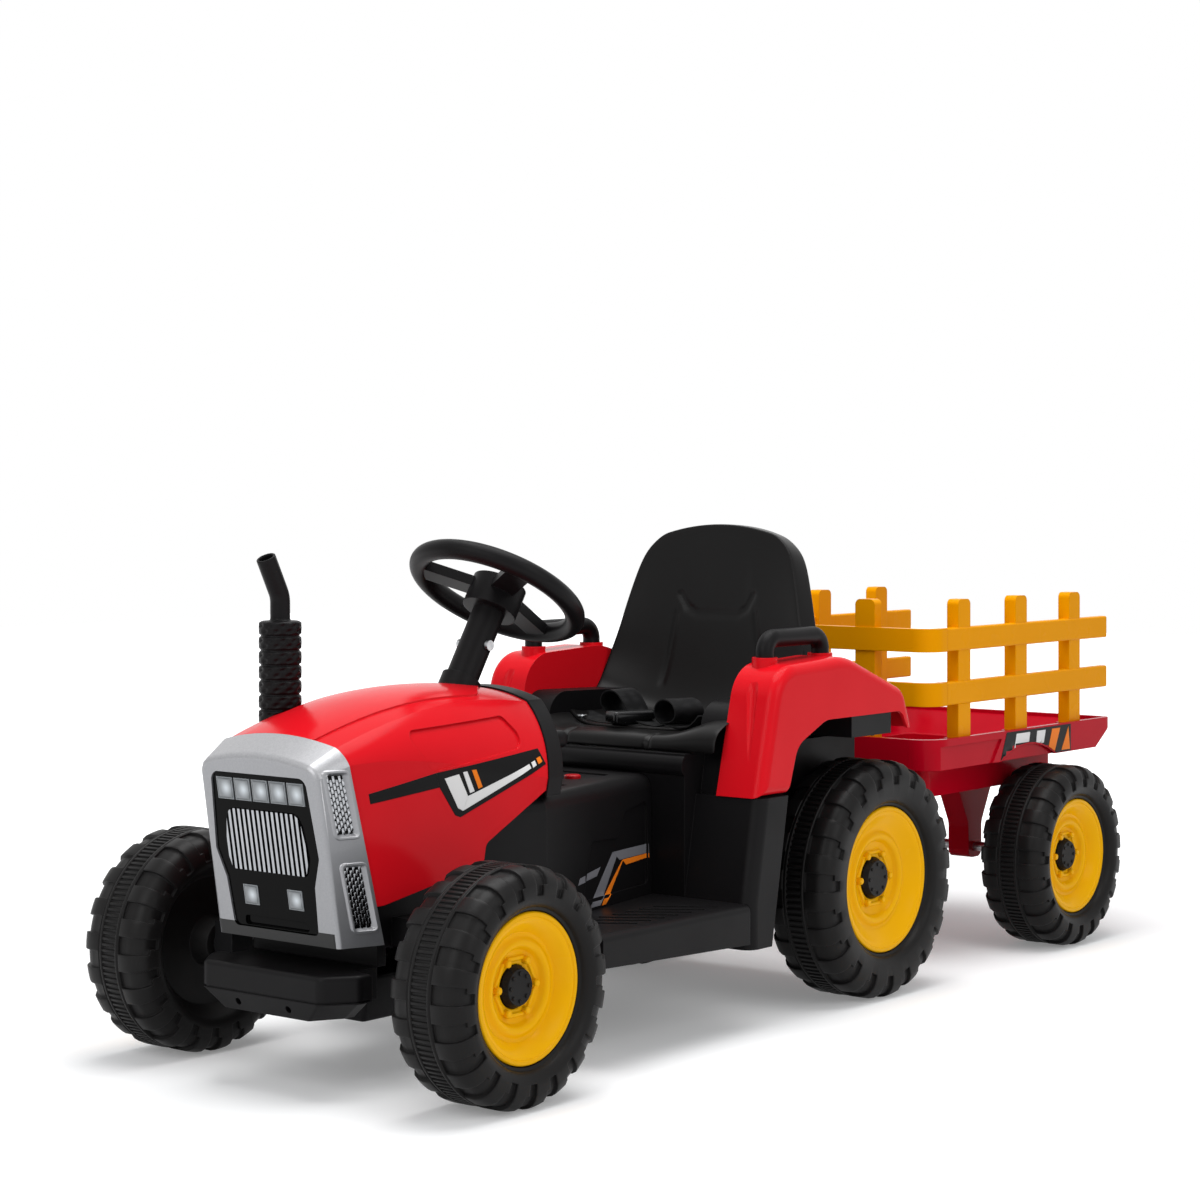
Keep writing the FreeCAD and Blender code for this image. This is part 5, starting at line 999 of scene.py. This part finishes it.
def seen_plainly(tree):
    """1 where the camera sees a surface straight on, mirrored or through glass, 0 where it only lights."""
    path = add(tree, "ShaderNodeLightPath", {})
    shiny = add(tree, "ShaderNodeMath", {0: path.outputs["Is Glossy Ray"],
                                         1: path.outputs["Is Transmission Ray"]}, operation="MAXIMUM")
    seen = add(tree, "ShaderNodeMath", {0: path.outputs["Is Camera Ray"],
                                        1: shiny.outputs["Value"]}, operation="MAXIMUM")
    return seen.outputs["Value"]


floor = start(bpy.ops.mesh.primitive_plane_add, size=14)
floor.name = "studio_floor"
pale, tree = new_tree("pale_paper_floor")
# The paper shows the shadow close to the object and runs out to plain white further off
place = add(tree, "ShaderNodeTexCoord", {}).outputs["Object"]
away = add(tree, "ShaderNodeVectorMath", {0: place}, operation="LENGTH")
fade = add(tree, "ShaderNodeMapRange", {"Value": away.outputs["Value"], "From Min": 0.7, "From Max": 2.0,
                                        "To Min": 0.20, "To Max": 1.0}, interpolation_type="SMOOTHSTEP")
lift = add(tree, "ShaderNodeMath", {0: seen_plainly(tree), 1: fade.outputs["Result"]}, operation="MULTIPLY")
paper = add(tree, "ShaderNodeBsdfDiffuse", {"Color": linear("#EDEDED")})
glow = add(tree, "ShaderNodeEmission", {"Color": (1, 1, 1, 1), "Strength": lift.outputs["Value"]})
both = add(tree, "ShaderNodeAddShader", {0: paper.outputs["BSDF"], 1: glow.outputs["Emission"]})
add(tree, "ShaderNodeOutputMaterial", {"Surface": both.outputs["Shader"]})
paint(floor, pale)

world = bpy.data.worlds.new("studio")
bpy.context.scene.world = world
world.use_nodes = True
tree = world.node_tree
tree.nodes.clear()
room = add(tree, "ShaderNodeBackground", {"Color": linear("#F2F4F7"), "Strength": 0.5})
white = add(tree, "ShaderNodeBackground", {"Color": (1, 1, 1, 1), "Strength": 1.0})
mix = add(tree, "ShaderNodeMixShader", {"Fac": seen_plainly(tree), 1: room.outputs["Background"],
                                        2: white.outputs["Background"]})
add(tree, "ShaderNodeOutputWorld", {"Surface": mix.outputs["Shader"]})

for name, spot, aim, width, power in (
        ("overhead_softbox", (0.1, 0.1, 2.4), (0, 0, 0.2), 1.8, 50),
        ("front_softbox", (2.4, 0.2, 1.5), (0.2, 0, 0.3), 1.4, 15),
        ("left_softbox", (0.4, 2.4, 1.5), (0, 0, 0.3), 1.4, 12)):
    lamp = bpy.data.lights.new(name, "AREA")
    lamp.energy = power
    lamp.size = width
    light = bpy.data.objects.new(name, lamp)
    bpy.context.collection.objects.link(light)
    light.location = spot
    light.rotation_euler = (Vector(aim) - Vector(spot)).to_track_quat("-Z", "Y").to_euler()

# Place, lens and shift come from a fit to the ellipses of the wheels and the level rails
optics = bpy.data.cameras.new("photo_camera")
optics.lens = 80.22
optics.sensor_width = 36
optics.shift_x = -0.0412
optics.shift_y = -0.0938
camera = bpy.data.objects.new("photo_camera", optics)
bpy.context.collection.objects.link(camera)
camera.location = (2.4554, 1.8565, 0.5764)
camera.rotation_euler = (math.radians(90), 0, math.radians(128.06))
bpy.context.scene.camera = camera
bpy.context.scene.view_settings.view_transform = "Standard"
